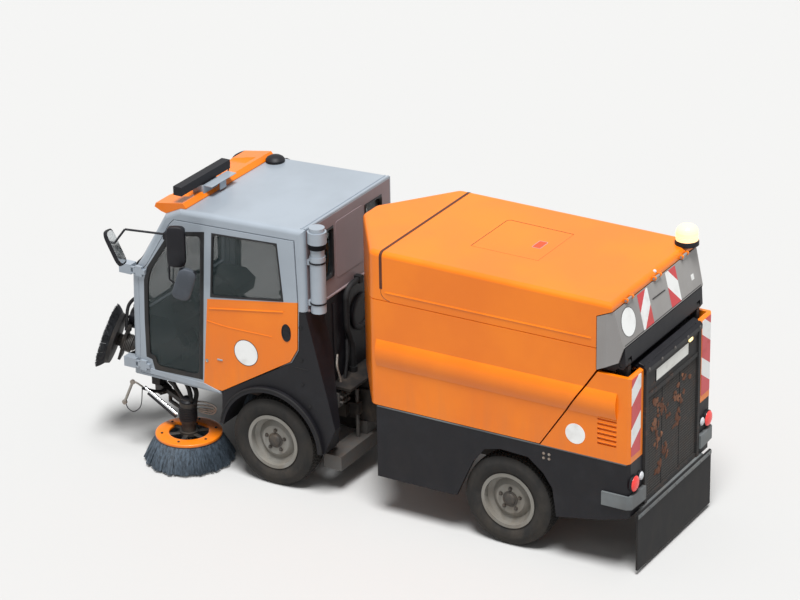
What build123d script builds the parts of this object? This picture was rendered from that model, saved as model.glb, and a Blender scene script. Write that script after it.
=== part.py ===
from build123d import *
import math
import os

os.makedirs("parts", exist_ok=True)

# Street sweeper with an articulated chassis. Millimetres: +X is the machine's left,
# -Y its front, +Z up, the ground is z = 0 and the origin is the middle of its length.

# Running gear
wheelbase = 1927
front_axle_y = -630
tyre_radius = 341
tyre_width = 195
wheel_outer_x = 621
rim_radius = 208
bead_radius = 190
bead_inset = 20
stub_radius = 45
axle_radius = 48
running_gap = 0.3
rear_axle_y = front_axle_y + wheelbase
wheel_centre_x = wheel_outer_x - tyre_width / 2

# Body shell of the rear unit
tail_y = 2242
body_half_width = 639
panel_thickness = 30
hopper_wall = 35
hopper_front_y = 235
nose_reach = 382
nose_half_width = 87
hopper_floor_z = 862
cover_split_z = 1672
cover_front_z = 2034
cover_rear_z = 2006
hopper_setback = 256
cover_setback = 137
slope_setback = 682
hopper_rear_y = tail_y - hopper_setback
cover_rear_y = tail_y - cover_setback
slope_foot_y = tail_y - slope_setback
slope_top_z = 1504
band_low_z = 1160
band_high_z = 1375
band_depth = 28
groove_y = 323
groove_width = 20
shut_gap = 6
panel_top_z = 1494
sill_z = 856
skirt_bottom_z = 330

# Hinges of the hopper and of its door
pivot_setback = 92
tip_pivot_y = tail_y - pivot_setback
tip_pivot_z = 1556
tip_pin_radius = 15
door_hinge_setback = 124
door_hinge_y = tail_y - door_hinge_setback
door_hinge_z = 1972
door_lip_z = 1690
door_foot_z = 1512

# Chassis joint between the two units
joint_y = 335
joint_pin_radius = 30
rail_half_gap = 250
rail_width = 60
rail_low_z = 470
rail_high_z = 570
swing_clear_radius = 690

# Cab
cab_half_width = 612
cab_wall = 40
cab_floor_z = 632
cab_roof_front_z = 2010
cab_roof_rear_z = 2044
cab_rear_y = -318
nose_y = -1829
screen_foot_z = 1100
door_gap = 6

# Tipping cylinders under the hopper and the towing eyes
cylinder_x = 330
cylinder_foot_setback = 242
cylinder_foot_y = tail_y - cylinder_foot_setback
cylinder_foot_z = 500
cylinder_head_setback = 492
cylinder_head_y = tail_y - cylinder_head_setback
cylinder_head_z = 1096
cylinder_eye_half = 18
cylinder_pin_radius = 13
barrel_radius = 32
cylinder_rod_radius = 18
tow_bore_radius = 14
tow_plate = 24
tow_rear_x = 56
tow_rear_drop = 70
tow_front_x = -250
grille_half_depth = 10

# Side brushes
brush_x = 545
brush_reach_y = 360
brush_radius = 325
brush_foot_z = 14
ring_radius = 248
ring_z = 215
arm_pivot_x = 360
arm_pivot_y = nose_y + 64
arm_pivot_z = 450
brush_y = arm_pivot_y + brush_reach_y

nodes = {}


def side_prism(points, x_low, x_high):
    """A solid with the outline points (y, z) between two stations across the machine."""
    plane = Plane(origin=(x_low, 0, 0), x_dir=(0, 1, 0), z_dir=(1, 0, 0))
    return extrude(plane * Polygon(*points, align=None), x_high - x_low, dir=(1, 0, 0))


def plan_prism(points, z_low, z_high):
    """A solid with the outline points (x, y) between two heights."""
    face = Pos(0, 0, z_low) * Polygon(*points, align=None)
    return extrude(face, z_high - z_low, dir=(0, 0, 1))


def block(x_low, x_high, y_low, y_high, z_low, z_high):
    """A box between six faces."""
    size = (x_high - x_low, y_high - y_low, z_high - z_low)
    return Pos(x_low, y_low, z_low) * Box(*size, align=(Align.MIN, Align.MIN, Align.MIN))


def rod(start, end, radius):
    """A round bar from one point to another."""
    a = Vector(*start)
    b = Vector(*end)
    plane = Plane(origin=a, z_dir=(b - a).normalized())
    return extrude(plane * Circle(radius), (b - a).length)


def twin(shape):
    """The same shape on the other side of the machine."""
    return mirror(shape, about=Plane.YZ)


def pair(shape):
    """The shape and its twin as one group."""
    return Compound([shape, twin(shape)])


def fused(shapes):
    """One solid out of several that meet."""
    result = shapes[0]
    for shape in shapes[1:]:
        result = result + shape
    return result


# Road wheels: a tyre and a dished steel rim on each stub.
def tyre_solid():
    half = tyre_width / 2
    crown = tyre_radius - 7
    inner = bead_radius + running_gap
    seat = half - bead_inset
    waist = (rim_radius + crown) / 2
    bead = rim_radius + 3
    section = [(seat, inner), (seat, bead), (half, waist), (half - 22, crown), (half - 42, tyre_radius),
               (42 - half, tyre_radius), (22 - half, crown), (-half, waist), (-seat, bead), (-seat, inner)]
    return revolve(Polygon(*section, align=None), Axis.X)


def rim_solid():
    edge = tyre_width / 2 - bead_inset + running_gap
    lip = edge + 9
    hub = stub_radius + running_gap
    profile = [(-lip, rim_radius), (-lip, bead_radius - 7), (28, bead_radius - 7), (4, 150), (34, 104),
               (34, hub), (46, hub), (46, 110), (18, 150), (38, bead_radius - 7), (lip, bead_radius - 7),
               (lip, rim_radius), (edge + 3, rim_radius), (edge + 3, bead_radius),
               (-edge - 3, bead_radius), (-edge - 3, rim_radius)]
    return revolve(Polygon(*profile, align=None), Axis.X)


wheel_stations = [("front", front_axle_y), ("rear", rear_axle_y)]
for station, axle_y in wheel_stations:
    tyre = Pos(wheel_centre_x, axle_y, tyre_radius) * tyre_solid()
    rim = Pos(wheel_centre_x, axle_y, tyre_radius) * rim_solid()
    nodes["tyre_" + station + "_left"] = tyre
    nodes["tyre_" + station + "_right"] = twin(tyre)
    nodes["rim_" + station + "_left"] = rim
    nodes["rim_" + station + "_right"] = twin(rim)


front_rail_x = 200


def axle_solid(axle_y, bracket_top_z, bracket_x):
    """A beam with a motor housing and a stub at each end, hung from the rails."""
    stub_end = wheel_centre_x + 52
    drum_end = wheel_centre_x - 5
    drum_start = wheel_centre_x - 193
    shapes = [rod((-stub_end, axle_y, tyre_radius), (stub_end, axle_y, tyre_radius), stub_radius)]
    shapes.append(rod((-drum_end, axle_y, tyre_radius), (drum_end, axle_y, tyre_radius), axle_radius))
    for side in (-1, 1):
        drum = rod((side * drum_start, axle_y, tyre_radius), (side * drum_end, axle_y, tyre_radius), 88)
        shapes.append(drum)
        centre = side * bracket_x
        shapes.append(block(centre - 32, centre + 32, axle_y - 60, axle_y + 60,
                            tyre_radius, bracket_top_z))
    return fused(shapes)


nodes["rear_axle"] = axle_solid(rear_axle_y, rail_low_z, rail_half_gap)
nodes["front_axle"] = axle_solid(front_axle_y, rail_low_z, front_rail_x)

# Rear chassis with the tongue of the chassis joint and the eyes that the hopper tips on.
rail_front_y = joint_y + 225
rail_end_y = tail_y - 60
skirt_inside_x = body_half_width - panel_thickness
rest_gap = 0.3
tongue_low_z = 455
tongue_high_z = 585
eye_x = body_half_width - 112
eye_half_width = 22
rear_frame_shapes = []
for side in (-1, 1):
    rail_x = side * rail_half_gap
    rear_frame_shapes.append(block(rail_x - rail_width / 2, rail_x + rail_width / 2,
                                   rail_front_y, tail_y - grille_half_depth, rail_low_z, rail_high_z))
for beam_y in (rail_front_y, rail_end_y - 80):
    rear_frame_shapes.append(block(-skirt_inside_x, skirt_inside_x, beam_y, beam_y + 80,
                                   rail_low_z, rail_high_z))
rear_frame_shapes.append(block(-65, 65, joint_y, rail_front_y + 10, tongue_low_z, tongue_high_z))
rear_frame_shapes.append(rod((0, joint_y, tongue_low_z), (0, joint_y, tongue_high_z), 65))
for side in (-1, 1):
    eye_low = side * eye_x - eye_half_width
    eye_high = side * eye_x + eye_half_width
    rear_frame_shapes.append(block(eye_low, eye_high, rail_end_y - 80, rail_end_y,
                                   rail_high_z - 10, tip_pivot_z - 20))
    rear_frame_shapes.append(rod((eye_low, tip_pivot_y, tip_pivot_z),
                                 (eye_high, tip_pivot_y, tip_pivot_z), 34))
    rear_frame_shapes.append(block(eye_low, eye_high, tip_pivot_y - 34, tip_pivot_y + 20,
                                   tip_pivot_z - 90, tip_pivot_z))
    rear_frame_shapes.append(rod((side * (eye_x - 47), tip_pivot_y, tip_pivot_z),
                                 (side * (eye_x + 61), tip_pivot_y, tip_pivot_z), tip_pin_radius))
    rear_frame_shapes.append(block(side * rail_half_gap - 30, side * rail_half_gap + 30, rail_front_y,
                                   rail_front_y + 60, rail_high_z - 5, hopper_floor_z - rest_gap))
for side in (-1, 1):
    rear_frame_shapes.append(rod((side * rail_half_gap, cylinder_foot_y, cylinder_foot_z),
                                 (side * (cylinder_x + barrel_radius + 6), cylinder_foot_y,
                                  cylinder_foot_z), cylinder_pin_radius))
    rear_frame_shapes.append(rod((side * rail_half_gap, cylinder_foot_y, cylinder_foot_z),
                                 (side * (cylinder_x - barrel_radius - 1), cylinder_foot_y,
                                  cylinder_foot_z), cylinder_pin_radius + 8))
rear_frame = fused(rear_frame_shapes)
rear_frame = rear_frame - rod((0, joint_y, tongue_low_z - 5), (0, joint_y, tongue_high_z + 5),
                              joint_pin_radius + running_gap)
nodes["rear_frame"] = rear_frame

# Rear towing eye: a plate hung under the rear beam, with its pin hole reached from below.
tow_rear_y = rail_end_y + 30
tow_rear_z = rail_low_z - tow_rear_drop
tow_rear = block(tow_rear_x - 30, tow_rear_x + 30, rail_end_y - 70, rail_end_y - 20,
                 tow_rear_z, rail_low_z)
tow_rear = tow_rear + block(tow_rear_x - 30, tow_rear_x + 30, rail_end_y - 70, tow_rear_y + 30,
                            tow_rear_z, tow_rear_z + tow_plate)
nodes["tow_eye_rear"] = tow_rear - rod((tow_rear_x, tow_rear_y, 0), (tow_rear_x, tow_rear_y, rail_low_z),
                                       tow_bore_radius)

# Front chassis: rails, the fork of the chassis joint with its pin, and the brush beam.
fork_low = (395, 449)
fork_high = (591, 645)
nozzle_post_x = 150
nozzle_post_y = cab_rear_y + 128
nozzle_post_radius = 14
plate_low_z = 735
front_shapes = []
for side in (-1, 1):
    rail_x = side * front_rail_x
    front_shapes.append(block(rail_x - 30, rail_x + 30, nose_y + 90, cab_rear_y + 78,
                              rail_low_z, rail_high_z))
    for foot_y in (nose_y + 150, cab_rear_y - cab_wall - 60):
        front_shapes.append(block(rail_x - 30, rail_x + 30, foot_y, foot_y + 60,
                                  rail_high_z - 5, cab_floor_z))
    sleeve_x = side * nozzle_post_x
    front_shapes.append(block(sleeve_x - 26, sleeve_x + 26, nozzle_post_y - 70, nozzle_post_y + 26,
                              rail_low_z + 10, rail_high_z))
front_shapes.append(block(-430, 430, nose_y + 30, nose_y + 100, rail_low_z, rail_high_z))
front_shapes.append(block(-front_rail_x, front_rail_x, cab_rear_y - 2, cab_rear_y + 78,
                          rail_low_z, rail_high_z))
front_shapes.append(block(-80, 80, cab_rear_y + 18, joint_y - 275, fork_low[0], fork_high[1]))
front_shapes.append(block(-60, 60, cab_rear_y + 18, cab_rear_y + 178, fork_high[1] - 5, plate_low_z + 5))
front_shapes.append(block(-330, 330, cab_rear_y + 6, cab_rear_y + 188, plate_low_z, plate_low_z + 20))
for low, high in (fork_low, fork_high):
    front_shapes.append(block(-80, 80, joint_y - 335, joint_y, low, high))
    front_shapes.append(rod((0, joint_y, low), (0, joint_y, high), 80))
front_shapes.append(rod((0, joint_y, fork_low[0] - 12), (0, joint_y, fork_high[1] + 12),
                        joint_pin_radius))
front_frame = fused(front_shapes)
for side in (-1, 1):
    front_frame = front_frame - rod((side * nozzle_post_x, nozzle_post_y, rail_low_z),
                                    (side * nozzle_post_x, nozzle_post_y, cab_floor_z),
                                    nozzle_post_radius + running_gap)

# Front towing eye: a plate on a pad against the front beam.
tow_front_z = rail_low_z + 40
tow_front = block(tow_front_x - 20, tow_front_x + 20, nose_y - 40, nose_y + 30, tow_front_z,
                  tow_front_z + tow_plate)
tow_front = tow_front + block(tow_front_x - 35, tow_front_x + 35, nose_y + 18, nose_y + 30,
                              rail_low_z + 8, rail_high_z - 8)
tow_front_y = nose_y - 20
nodes["tow_eye_front"] = tow_front - rod((tow_front_x, tow_front_y, 0),
                                         (tow_front_x, tow_front_y, cab_floor_z), tow_bore_radius)

# Hopper: a hollow box with a pointed front, a half-round band along each side and a floor
# that climbs over the engine to the rear edge.
plan_outline = [(body_half_width, hopper_front_y), (nose_half_width, hopper_front_y - nose_reach),
                (-nose_half_width, hopper_front_y - nose_reach), (-body_half_width, hopper_front_y)]


def hopper_plan(rear_y, inset):
    """The hopper's outline seen from above, set in by a wall, as a face at ground level."""
    corners = plan_outline + [(-body_half_width, rear_y), (body_half_width, rear_y)]
    face = Polygon(*corners, align=None)
    front = face.vertices().filter_by(lambda v: v.Y < rear_y - 1)
    face = fillet(front, 70)
    if inset:
        face = offset(face, -inset)
    return face


slope_run = hopper_rear_y - slope_foot_y
slope_rise = slope_top_z - hopper_floor_z
slope_length = math.hypot(slope_run, slope_rise)
slope_shift = hopper_wall * slope_length / slope_run
far = 3000
outer_side = [(-far, hopper_floor_z), (slope_foot_y, hopper_floor_z), (hopper_rear_y, slope_top_z),
              (hopper_rear_y, cover_split_z), (-far, cover_split_z)]
floor_inside_z = hopper_floor_z + hopper_wall
foot_inside_y = slope_foot_y - slope_run * (slope_shift - hopper_wall) / slope_rise
inner_side = [(-far, floor_inside_z), (foot_inside_y, floor_inside_z),
              (hopper_rear_y, slope_top_z + slope_shift),
              (far, slope_top_z + slope_shift), (far, far), (-far, far)]
hull = extrude(Pos(0, 0, hopper_floor_z) * hopper_plan(hopper_rear_y, 0),
               cover_split_z - hopper_floor_z, dir=(0, 0, 1))
hull = hull & side_prism(outer_side, -far, far)
room = extrude(hopper_plan(hopper_rear_y + 200, hopper_wall), far, dir=(0, 0, 1))
hopper = hull - (room & side_prism(inner_side, -far, far))


def band_solid(y_low, y_high):
    """The half-round band on the left side: a shallow arc carried along the machine."""
    middle = (band_low_z + band_high_z) / 2
    plane = Plane(origin=(0, y_low, 0), x_dir=(1, 0, 0), z_dir=(0, -1, 0))
    with BuildSketch(plane) as section:
        with BuildLine():
            ThreePointArc((body_half_width - 4, band_low_z), (body_half_width + band_depth, middle),
                          (body_half_width - 4, band_high_z))
            Line((body_half_width - 4, band_high_z), (body_half_width - 4, band_low_z))
        make_face()
    return extrude(section.sketch, y_high - y_low, dir=(0, 1, 0))


band_front_y = hopper_front_y + 45
slope_gap = shut_gap * slope_length / slope_rise
hopper_band = band_solid(band_front_y, tail_y - 95)
left_of_slope = side_prism([(-far, 0), (slope_foot_y - 570, 0), (slope_foot_y, hopper_floor_z),
                            (hopper_rear_y, slope_top_z), (hopper_rear_y, far), (-far, far)], 0, far)
hopper_band_left = hopper_band & left_of_slope
hopper = hopper + hopper_band_left + twin(hopper_band_left)
seam = block(-far, far, -far, far, cover_split_z - 6, cover_split_z)
seam_core = extrude(Pos(0, 0, cover_split_z - 7) * hopper_plan(hopper_rear_y, 6), 8, dir=(0, 0, 1))
hopper = hopper - (seam - seam_core)
slope_grade = slope_rise / slope_run


def slope_under_z(y):
    """Height of the sloping floor's underside at a station along the machine."""
    return hopper_floor_z + slope_grade * (y - slope_foot_y)


ear_outline = [(cylinder_head_y - 28, cylinder_head_z - 28), (cylinder_head_y + 28, cylinder_head_z - 28),
               (cylinder_head_y + 40, slope_under_z(cylinder_head_y + 40) + 4),
               (cylinder_head_y - 28, slope_under_z(cylinder_head_y - 28) + 4)]
for side in (-1, 1):
    for ear in (-1, 1):
        ear_x = side * cylinder_x + ear * (cylinder_eye_half + 13)
        hopper = hopper + side_prism(ear_outline, ear_x - 7, ear_x + 7)
nodes["hopper_body"] = hopper

# Hopper cover: the upper third of the box with rounded edges, a dark groove and a long rib.
cover_side = [(hopper_front_y - nose_reach - 5, cover_split_z), (hopper_rear_y, cover_split_z),
              (hopper_rear_y, door_hinge_z - 68), (cover_rear_y, door_hinge_z - 16),
              (cover_rear_y, cover_rear_z), (hopper_front_y - nose_reach - 5, cover_front_z)]
cover = extrude(Pos(0, 0, cover_split_z) * hopper_plan(cover_rear_y, 0), far, dir=(0, 0, 1))
cover = cover & side_prism(cover_side, -far, far)
top_edges = cover.edges().filter_by(lambda e: e.center().Z > cover_rear_z - 3)
cover = fillet(top_edges, 38)
cover_room = extrude(hopper_plan(cover_rear_y + 200, hopper_wall), cover_rear_z - 32, dir=(0, 0, 1))
cover_room_side = [(-far, 0), (cover_rear_y - 28, 0), (cover_rear_y - 28, cover_rear_z - 32),
                   (-far, cover_rear_z - 32)]
cover = cover - (cover_room & side_prism(cover_room_side, -far, far))
groove = block(-far, far, groove_y - groove_width / 2, groove_y + groove_width / 2,
               cover_split_z + 82, far)
groove_core = extrude(Pos(0, 0, cover_split_z) * hopper_plan(cover_rear_y, 9),
                      cover_rear_z + 3 - cover_split_z, dir=(0, 0, 1))
cover = cover - (groove - groove_core)
hinge_pin_half = 52
knuckle_half = 30
hinge_spread = body_half_width - 219
hinge_places = (-hinge_spread, 0, hinge_spread)
for centre in hinge_places:
    for side in (-1, 1):
        lug_low = min(centre + side * (knuckle_half + 2), centre + side * (hinge_pin_half - 3))
        lug_high = max(centre + side * (knuckle_half + 2), centre + side * (hinge_pin_half - 3))
        lug = rod((lug_low, door_hinge_y, door_hinge_z), (lug_high, door_hinge_y, door_hinge_z), 15)
        lug = lug + block(lug_low, lug_high, cover_rear_y - 20, door_hinge_y, door_hinge_z - 14,
                          door_hinge_z + 12)
        cover = cover + lug
    cover = cover - rod((centre - hinge_pin_half - 1, door_hinge_y, door_hinge_z),
                        (centre + hinge_pin_half + 1, door_hinge_y, door_hinge_z), 9 + running_gap)
nodes["hopper_cover"] = cover

# Beam at the hopper's rear edge that turns on the eyes of the chassis.
beam_half = body_half_width - 47
beam_profile = [(hopper_rear_y, slope_top_z), (tip_pivot_y - 45, slope_top_z),
                (tip_pivot_y - 26, tip_pivot_z - 26), (tip_pivot_y + 18, tip_pivot_z - 30),
                (tip_pivot_y + 36, tip_pivot_z), (tip_pivot_y + 28, door_lip_z - 6),
                (tip_pivot_y + 8, door_lip_z - 6), (tip_pivot_y - 10, tip_pivot_z + 40),
                (hopper_rear_y, slope_top_z + 30)]
beam = side_prism(beam_profile, -beam_half, beam_half)
for side in (-1, 1):
    slot_low = side * eye_x - eye_half_width - 6
    slot_high = side * eye_x + eye_half_width + 6
    beam = beam - rod((slot_low, tip_pivot_y, tip_pivot_z), (slot_high, tip_pivot_y, tip_pivot_z), 42)
    beam = beam - block(slot_low, slot_high, tip_pivot_y - 60, tip_pivot_y + 60,
                        tip_pivot_z - 100, tip_pivot_z + 44)
    beam = beam - rod((side * (eye_x - 57), tip_pivot_y, tip_pivot_z),
                      (side * (eye_x + 73), tip_pivot_y, tip_pivot_z), tip_pin_radius + running_gap)
nodes["hopper_hinge_beam"] = beam

# Hopper door: a dished panel with a cheek at each side, hung under the cover's rear edge.
door_side = [(hopper_rear_y + 5, door_foot_z), (tail_y - 99, door_foot_z + 72),
             (tip_pivot_y + 26, door_lip_z), (cover_rear_y + 7, door_hinge_z - 20),
             (hopper_rear_y + 5, door_hinge_z - 73)]
door = side_prism(door_side, -body_half_width, body_half_width)
door_bend_y = cover_rear_y - 45
door_plan = [(body_half_width, hopper_rear_y - 86), (body_half_width, door_bend_y),
             (body_half_width - 35, door_bend_y + 140), (35 - body_half_width, door_bend_y + 140),
             (-body_half_width, door_bend_y), (-body_half_width, hopper_rear_y - 86)]
door = door & plan_prism(door_plan, 0, far)
door_room = [(hopper_rear_y - 20, 1400), (tip_pivot_y + 60, 1400), (tip_pivot_y + 60, door_lip_z),
             (tip_pivot_y - 4, door_lip_z), (cover_rear_y - 24, door_hinge_z - 50),
             (hopper_rear_y - 20, door_hinge_z - 98)]
door = door - side_prism(door_room, 39 - body_half_width, body_half_width - 39)
knuckles = []
for centre in hinge_places:
    knuckles.append(rod((centre - hinge_pin_half, door_hinge_y, door_hinge_z),
                        (centre + hinge_pin_half, door_hinge_y, door_hinge_z), 9))
    knuckles.append(block(centre - knuckle_half, centre + knuckle_half, cover_rear_y + 2,
                          door_hinge_y + 4, door_hinge_z - 30, door_hinge_z))
door = fused([door] + knuckles)
nodes["hopper_door"] = door

# Fixed rear corner panels with louvres, and the black skirts below them.
corner_x = body_half_width - 201
corner_outline = [(body_half_width, slope_foot_y - 160), (body_half_width, tail_y - 14),
                  (body_half_width - 26, tail_y), (corner_x, tail_y), (corner_x, tail_y - panel_thickness),
                  (body_half_width - panel_thickness, tail_y - panel_thickness),
                  (body_half_width - panel_thickness, slope_foot_y - 160)]
panel_side = [(slope_foot_y + slope_gap, sill_z), (tail_y + 10, sill_z), (tail_y + 10, panel_top_z - 15),
              (tail_y - 20, panel_top_z), (hopper_rear_y + 3 + slope_gap * 0.99, panel_top_z)]
side_panel = plan_prism(corner_outline, sill_z, panel_top_z) & side_prism(panel_side, 0, far)
right_of_slope = side_prism(panel_side, 0, far)
panel_band = (hopper_band & right_of_slope)
side_panel = side_panel + panel_band
for index in range(6):
    slot_z = 965 + index * 36
    slot = block(body_half_width - 10, body_half_width + 5, tail_y - 240, tail_y - 96, slot_z, slot_z + 16)
    side_panel = side_panel - slot
nodes["rear_side_panels"] = pair(side_panel)

skirt_front_y = hopper_front_y + 31
arch_points = [(-392, 300), (-317, 470), (-257, 600), (-167, 715), (-42, 745), (173, 735), (293, 640),
               (363, 540), (393, skirt_bottom_z)]
skirt_outline = [(skirt_front_y, skirt_bottom_z - 30)]
skirt_outline += [(rear_axle_y + ahead, height) for ahead, height in arch_points]
skirt_outline += [(tail_y - 212, 392), (tail_y, 450), (tail_y, sill_z), (skirt_front_y, sill_z)]
skirt_plan = [(body_half_width - 4, 0), (body_half_width - 4, tail_y - 14),
              (body_half_width - 30, tail_y), (corner_x, tail_y), (corner_x, tail_y - panel_thickness),
              (body_half_width - panel_thickness, tail_y - panel_thickness),
              (body_half_width - panel_thickness, 0)]
skirt = plan_prism(skirt_plan, 0, sill_z) & side_prism(skirt_outline, 0, far)
nodes["rear_skirts"] = pair(skirt)

# Engine, grille, moulded hood, bumper bar, rubber flap and lamps at the tail.
nodes["engine_block"] = block(-230, 230, tail_y - 522, tail_y - 152, rail_high_z, 1080)

post_x = corner_x - 29
hood_low_z = 1446
screen_top_z = 1255
plate_panel_z = 1275
grille_shapes = []
for side in (-1, 1):
    grille_shapes.append(block(side * post_x - 18, side * post_x + 18, tail_y - 20, tail_y + 18,
                               rail_low_z, hood_low_z))
for height in (rail_low_z, screen_top_z - 5, hood_low_z - 31):
    grille_shapes.append(block(-post_x, post_x, tail_y - grille_half_depth, tail_y + grille_half_depth,
                               height, height + 30))
grille_shapes.append(block(-post_x, post_x, tail_y - 8, tail_y - 4, rail_low_z, screen_top_z))
grille_shapes.append(block(-post_x, post_x, tail_y - grille_half_depth, tail_y + 2,
                           plate_panel_z, hood_low_z - 26))
for rib_x in (-post_x / 3, post_x / 3):
    grille_shapes.append(block(rib_x - 5, rib_x + 5, tail_y - grille_half_depth, tail_y,
                               rail_low_z, screen_top_z))
nodes["rear_grille"] = fused(grille_shapes)

hood_top_z = 1508
hood_front_y = tail_y - 44
hood_half = post_x + 25
hood_profile = [(hood_front_y, hood_low_z), (tail_y + 20, hood_low_z), (tail_y + 22, 1480),
                (tail_y + 2, 1502), (tail_y - 20, 1494), (hood_front_y + 12, 1498), (hood_front_y, 1490)]
hood = side_prism(hood_profile, -hood_half, hood_half)
for side in (-1, 1):
    for lobe_x, lobe_radius in ((hood_half - 40, 24), (hood_half - 105, 19)):
        hood = hood + rod((side * lobe_x - 20, tail_y - 14, hood_top_z - lobe_radius),
                          (side * lobe_x + 20, tail_y - 14, hood_top_z - lobe_radius), lobe_radius)
nodes["rear_hood"] = hood

bumper_depth = 30
bumper_inside_x = post_x + 21
bumper_bar = block(-bumper_inside_x - 40, bumper_inside_x + 40, tail_y, tail_y + bumper_depth,
                   rail_low_z - 40, rail_low_z)
corner_plan = [(bumper_inside_x, tail_y), (bumper_inside_x, tail_y + bumper_depth),
               (bumper_inside_x + 50, tail_y + bumper_depth), (body_half_width - 9, tail_y + 22),
               (body_half_width + 13, tail_y - 10), (body_half_width + 13, tail_y - 200),
               (body_half_width - 3, tail_y - 200), (body_half_width - 3, tail_y)]
corner_bar = plan_prism(corner_plan, 520, 620)
nodes["rear_bumper"] = Compound([bumper_bar, corner_bar, twin(corner_bar)])

flap_half = body_half_width - 64
nodes["rear_flap"] = block(-flap_half, flap_half, tail_y + bumper_depth, tail_y + bumper_depth + 14,
                           35, 462)

# Tipping cylinders: two barrels on the chassis and two rods that push under the hopper.
cylinder_rise = cylinder_head_z - cylinder_foot_z
cylinder_run = cylinder_head_y - cylinder_foot_y
cylinder_length = math.hypot(cylinder_run, cylinder_rise)
barrel_length = cylinder_length - 49


def on_cylinder(x, along):
    """A point on the cylinder's centre line, this far from its foot."""
    share = along / cylinder_length
    return (x, cylinder_foot_y + share * cylinder_run, cylinder_foot_z + share * cylinder_rise)


barrel_shapes = []
piston_shapes = []
for side in (-1, 1):
    x = side * cylinder_x
    foot_eye = rod((x - barrel_radius, cylinder_foot_y, cylinder_foot_z),
                   (x + barrel_radius, cylinder_foot_y, cylinder_foot_z), 28)
    barrel = foot_eye + rod(on_cylinder(x, 10), on_cylinder(x, barrel_length), barrel_radius)
    barrel = barrel - rod(on_cylinder(x, 52), on_cylinder(x, barrel_length + 1),
                          cylinder_rod_radius + running_gap)
    barrel = barrel - rod((x - 60, cylinder_foot_y, cylinder_foot_z),
                          (x + 60, cylinder_foot_y, cylinder_foot_z), cylinder_pin_radius + running_gap)
    barrel_shapes.append(barrel)
    piston = rod(on_cylinder(x, 62), on_cylinder(x, cylinder_length - 12), cylinder_rod_radius)
    piston = piston + rod((x - cylinder_eye_half, cylinder_head_y, cylinder_head_z),
                          (x + cylinder_eye_half, cylinder_head_y, cylinder_head_z), 22)
    piston = piston - rod((x - 60, cylinder_head_y, cylinder_head_z),
                          (x + 60, cylinder_head_y, cylinder_head_z), cylinder_pin_radius + running_gap)
    piston_shapes.append(piston)
nodes["tip_barrels"] = Compound(barrel_shapes)
nodes["tip_rods"] = Compound(piston_shapes)

lamp_shapes = []
for side in (-1, 1):
    for lamp_x, lamp_level, lamp_depth, lamp_radius in ((body_half_width - 64, 697, 35, 60),
                                                        (corner_x + 40, 712, 28, 35)):
        lamp_shapes.append(rod((side * lamp_x, tail_y, lamp_level),
                               (side * lamp_x, tail_y + lamp_depth, lamp_level), lamp_radius))
nodes["tail_lamps"] = Compound(lamp_shapes)

# Beacon on the hopper's right rear corner.
beacon_base_z = cover_rear_z - 3
beacon_x = 99 - body_half_width
beacon_y = cover_rear_y - 25
beacon_profile = [(0, 0), (85, 0), (85, 26), (80, 34), (78, 108), (64, 138), (34, 150), (0, 152)]
beacon = revolve(Plane.XZ * Polygon(*beacon_profile, align=None), Axis.Z)
nodes["beacon"] = Pos(beacon_x, beacon_y, beacon_base_z) * beacon - cover

# Cab: one shell from a side outline, cut into the panels that meet on the real cab.
roof_edge_front_y = nose_y + 471
screen_top = (nose_y + 339, cab_roof_front_z - 63)
screen_knee = (nose_y + 118, 1570)
nose_knee = (nose_y + 28, 1440)
edge_round = 38
cab_outline = [(nose_y, cab_floor_z), nose_knee, screen_knee, screen_top,
               (roof_edge_front_y, cab_roof_front_z), (cab_rear_y, cab_roof_rear_z),
               (cab_rear_y, cab_floor_z)]
outer_cab = side_prism(cab_outline, -cab_half_width, cab_half_width)
side_edges = outer_cab.edges().filter_by(lambda e: abs(e.center().X) > cab_half_width - 1)
side_edges = side_edges.filter_by(lambda e: e.center().Z > cab_floor_z + 5)
outer_cab = fillet(side_edges, edge_round)
inner_outline = [(nose_y + cab_wall, cab_floor_z + cab_wall), (nose_knee[0] + cab_wall, nose_knee[1] - 8),
                 (screen_knee[0] + 42, screen_knee[1] - 14), (screen_top[0] + 26, screen_top[1] - 36),
                 (roof_edge_front_y + 8, cab_roof_front_z - cab_wall),
                 (cab_rear_y - cab_wall, cab_roof_rear_z - cab_wall),
                 (cab_rear_y - cab_wall, cab_floor_z + cab_wall)]
inner_x = cab_half_width - cab_wall
shell = outer_cab - side_prism(inner_outline, -inner_x, inner_x)
door_front_y = nose_y + 75
door_split_y = front_axle_y - 512
door_rear_top = (cab_rear_y - 77, 1957)
door_rear_mid = (cab_rear_y - 60, 1494)
door_rear_low = (cab_rear_y - 73, 1128)
door_heel = (cab_rear_y - 135, 1021)
door_tip = (front_axle_y - 416, cab_floor_z + 28)
door_outline = [(door_front_y, cab_floor_z + 22), (door_front_y + 22, 1440), (screen_knee[0] + 60, 1535),
                (screen_top[0] + 52, 1888), (roof_edge_front_y - 46, 1922), door_rear_top, door_rear_mid,
                door_rear_low, door_heel, door_tip]


def side_face(points, x_place):
    """A flat face with the outline points (y, z) at one station across the machine."""
    plane = Plane(origin=(x_place, 0, 0), x_dir=(0, 1, 0), z_dir=(1, 0, 0))
    return plane * Polygon(*points, align=None)


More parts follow.
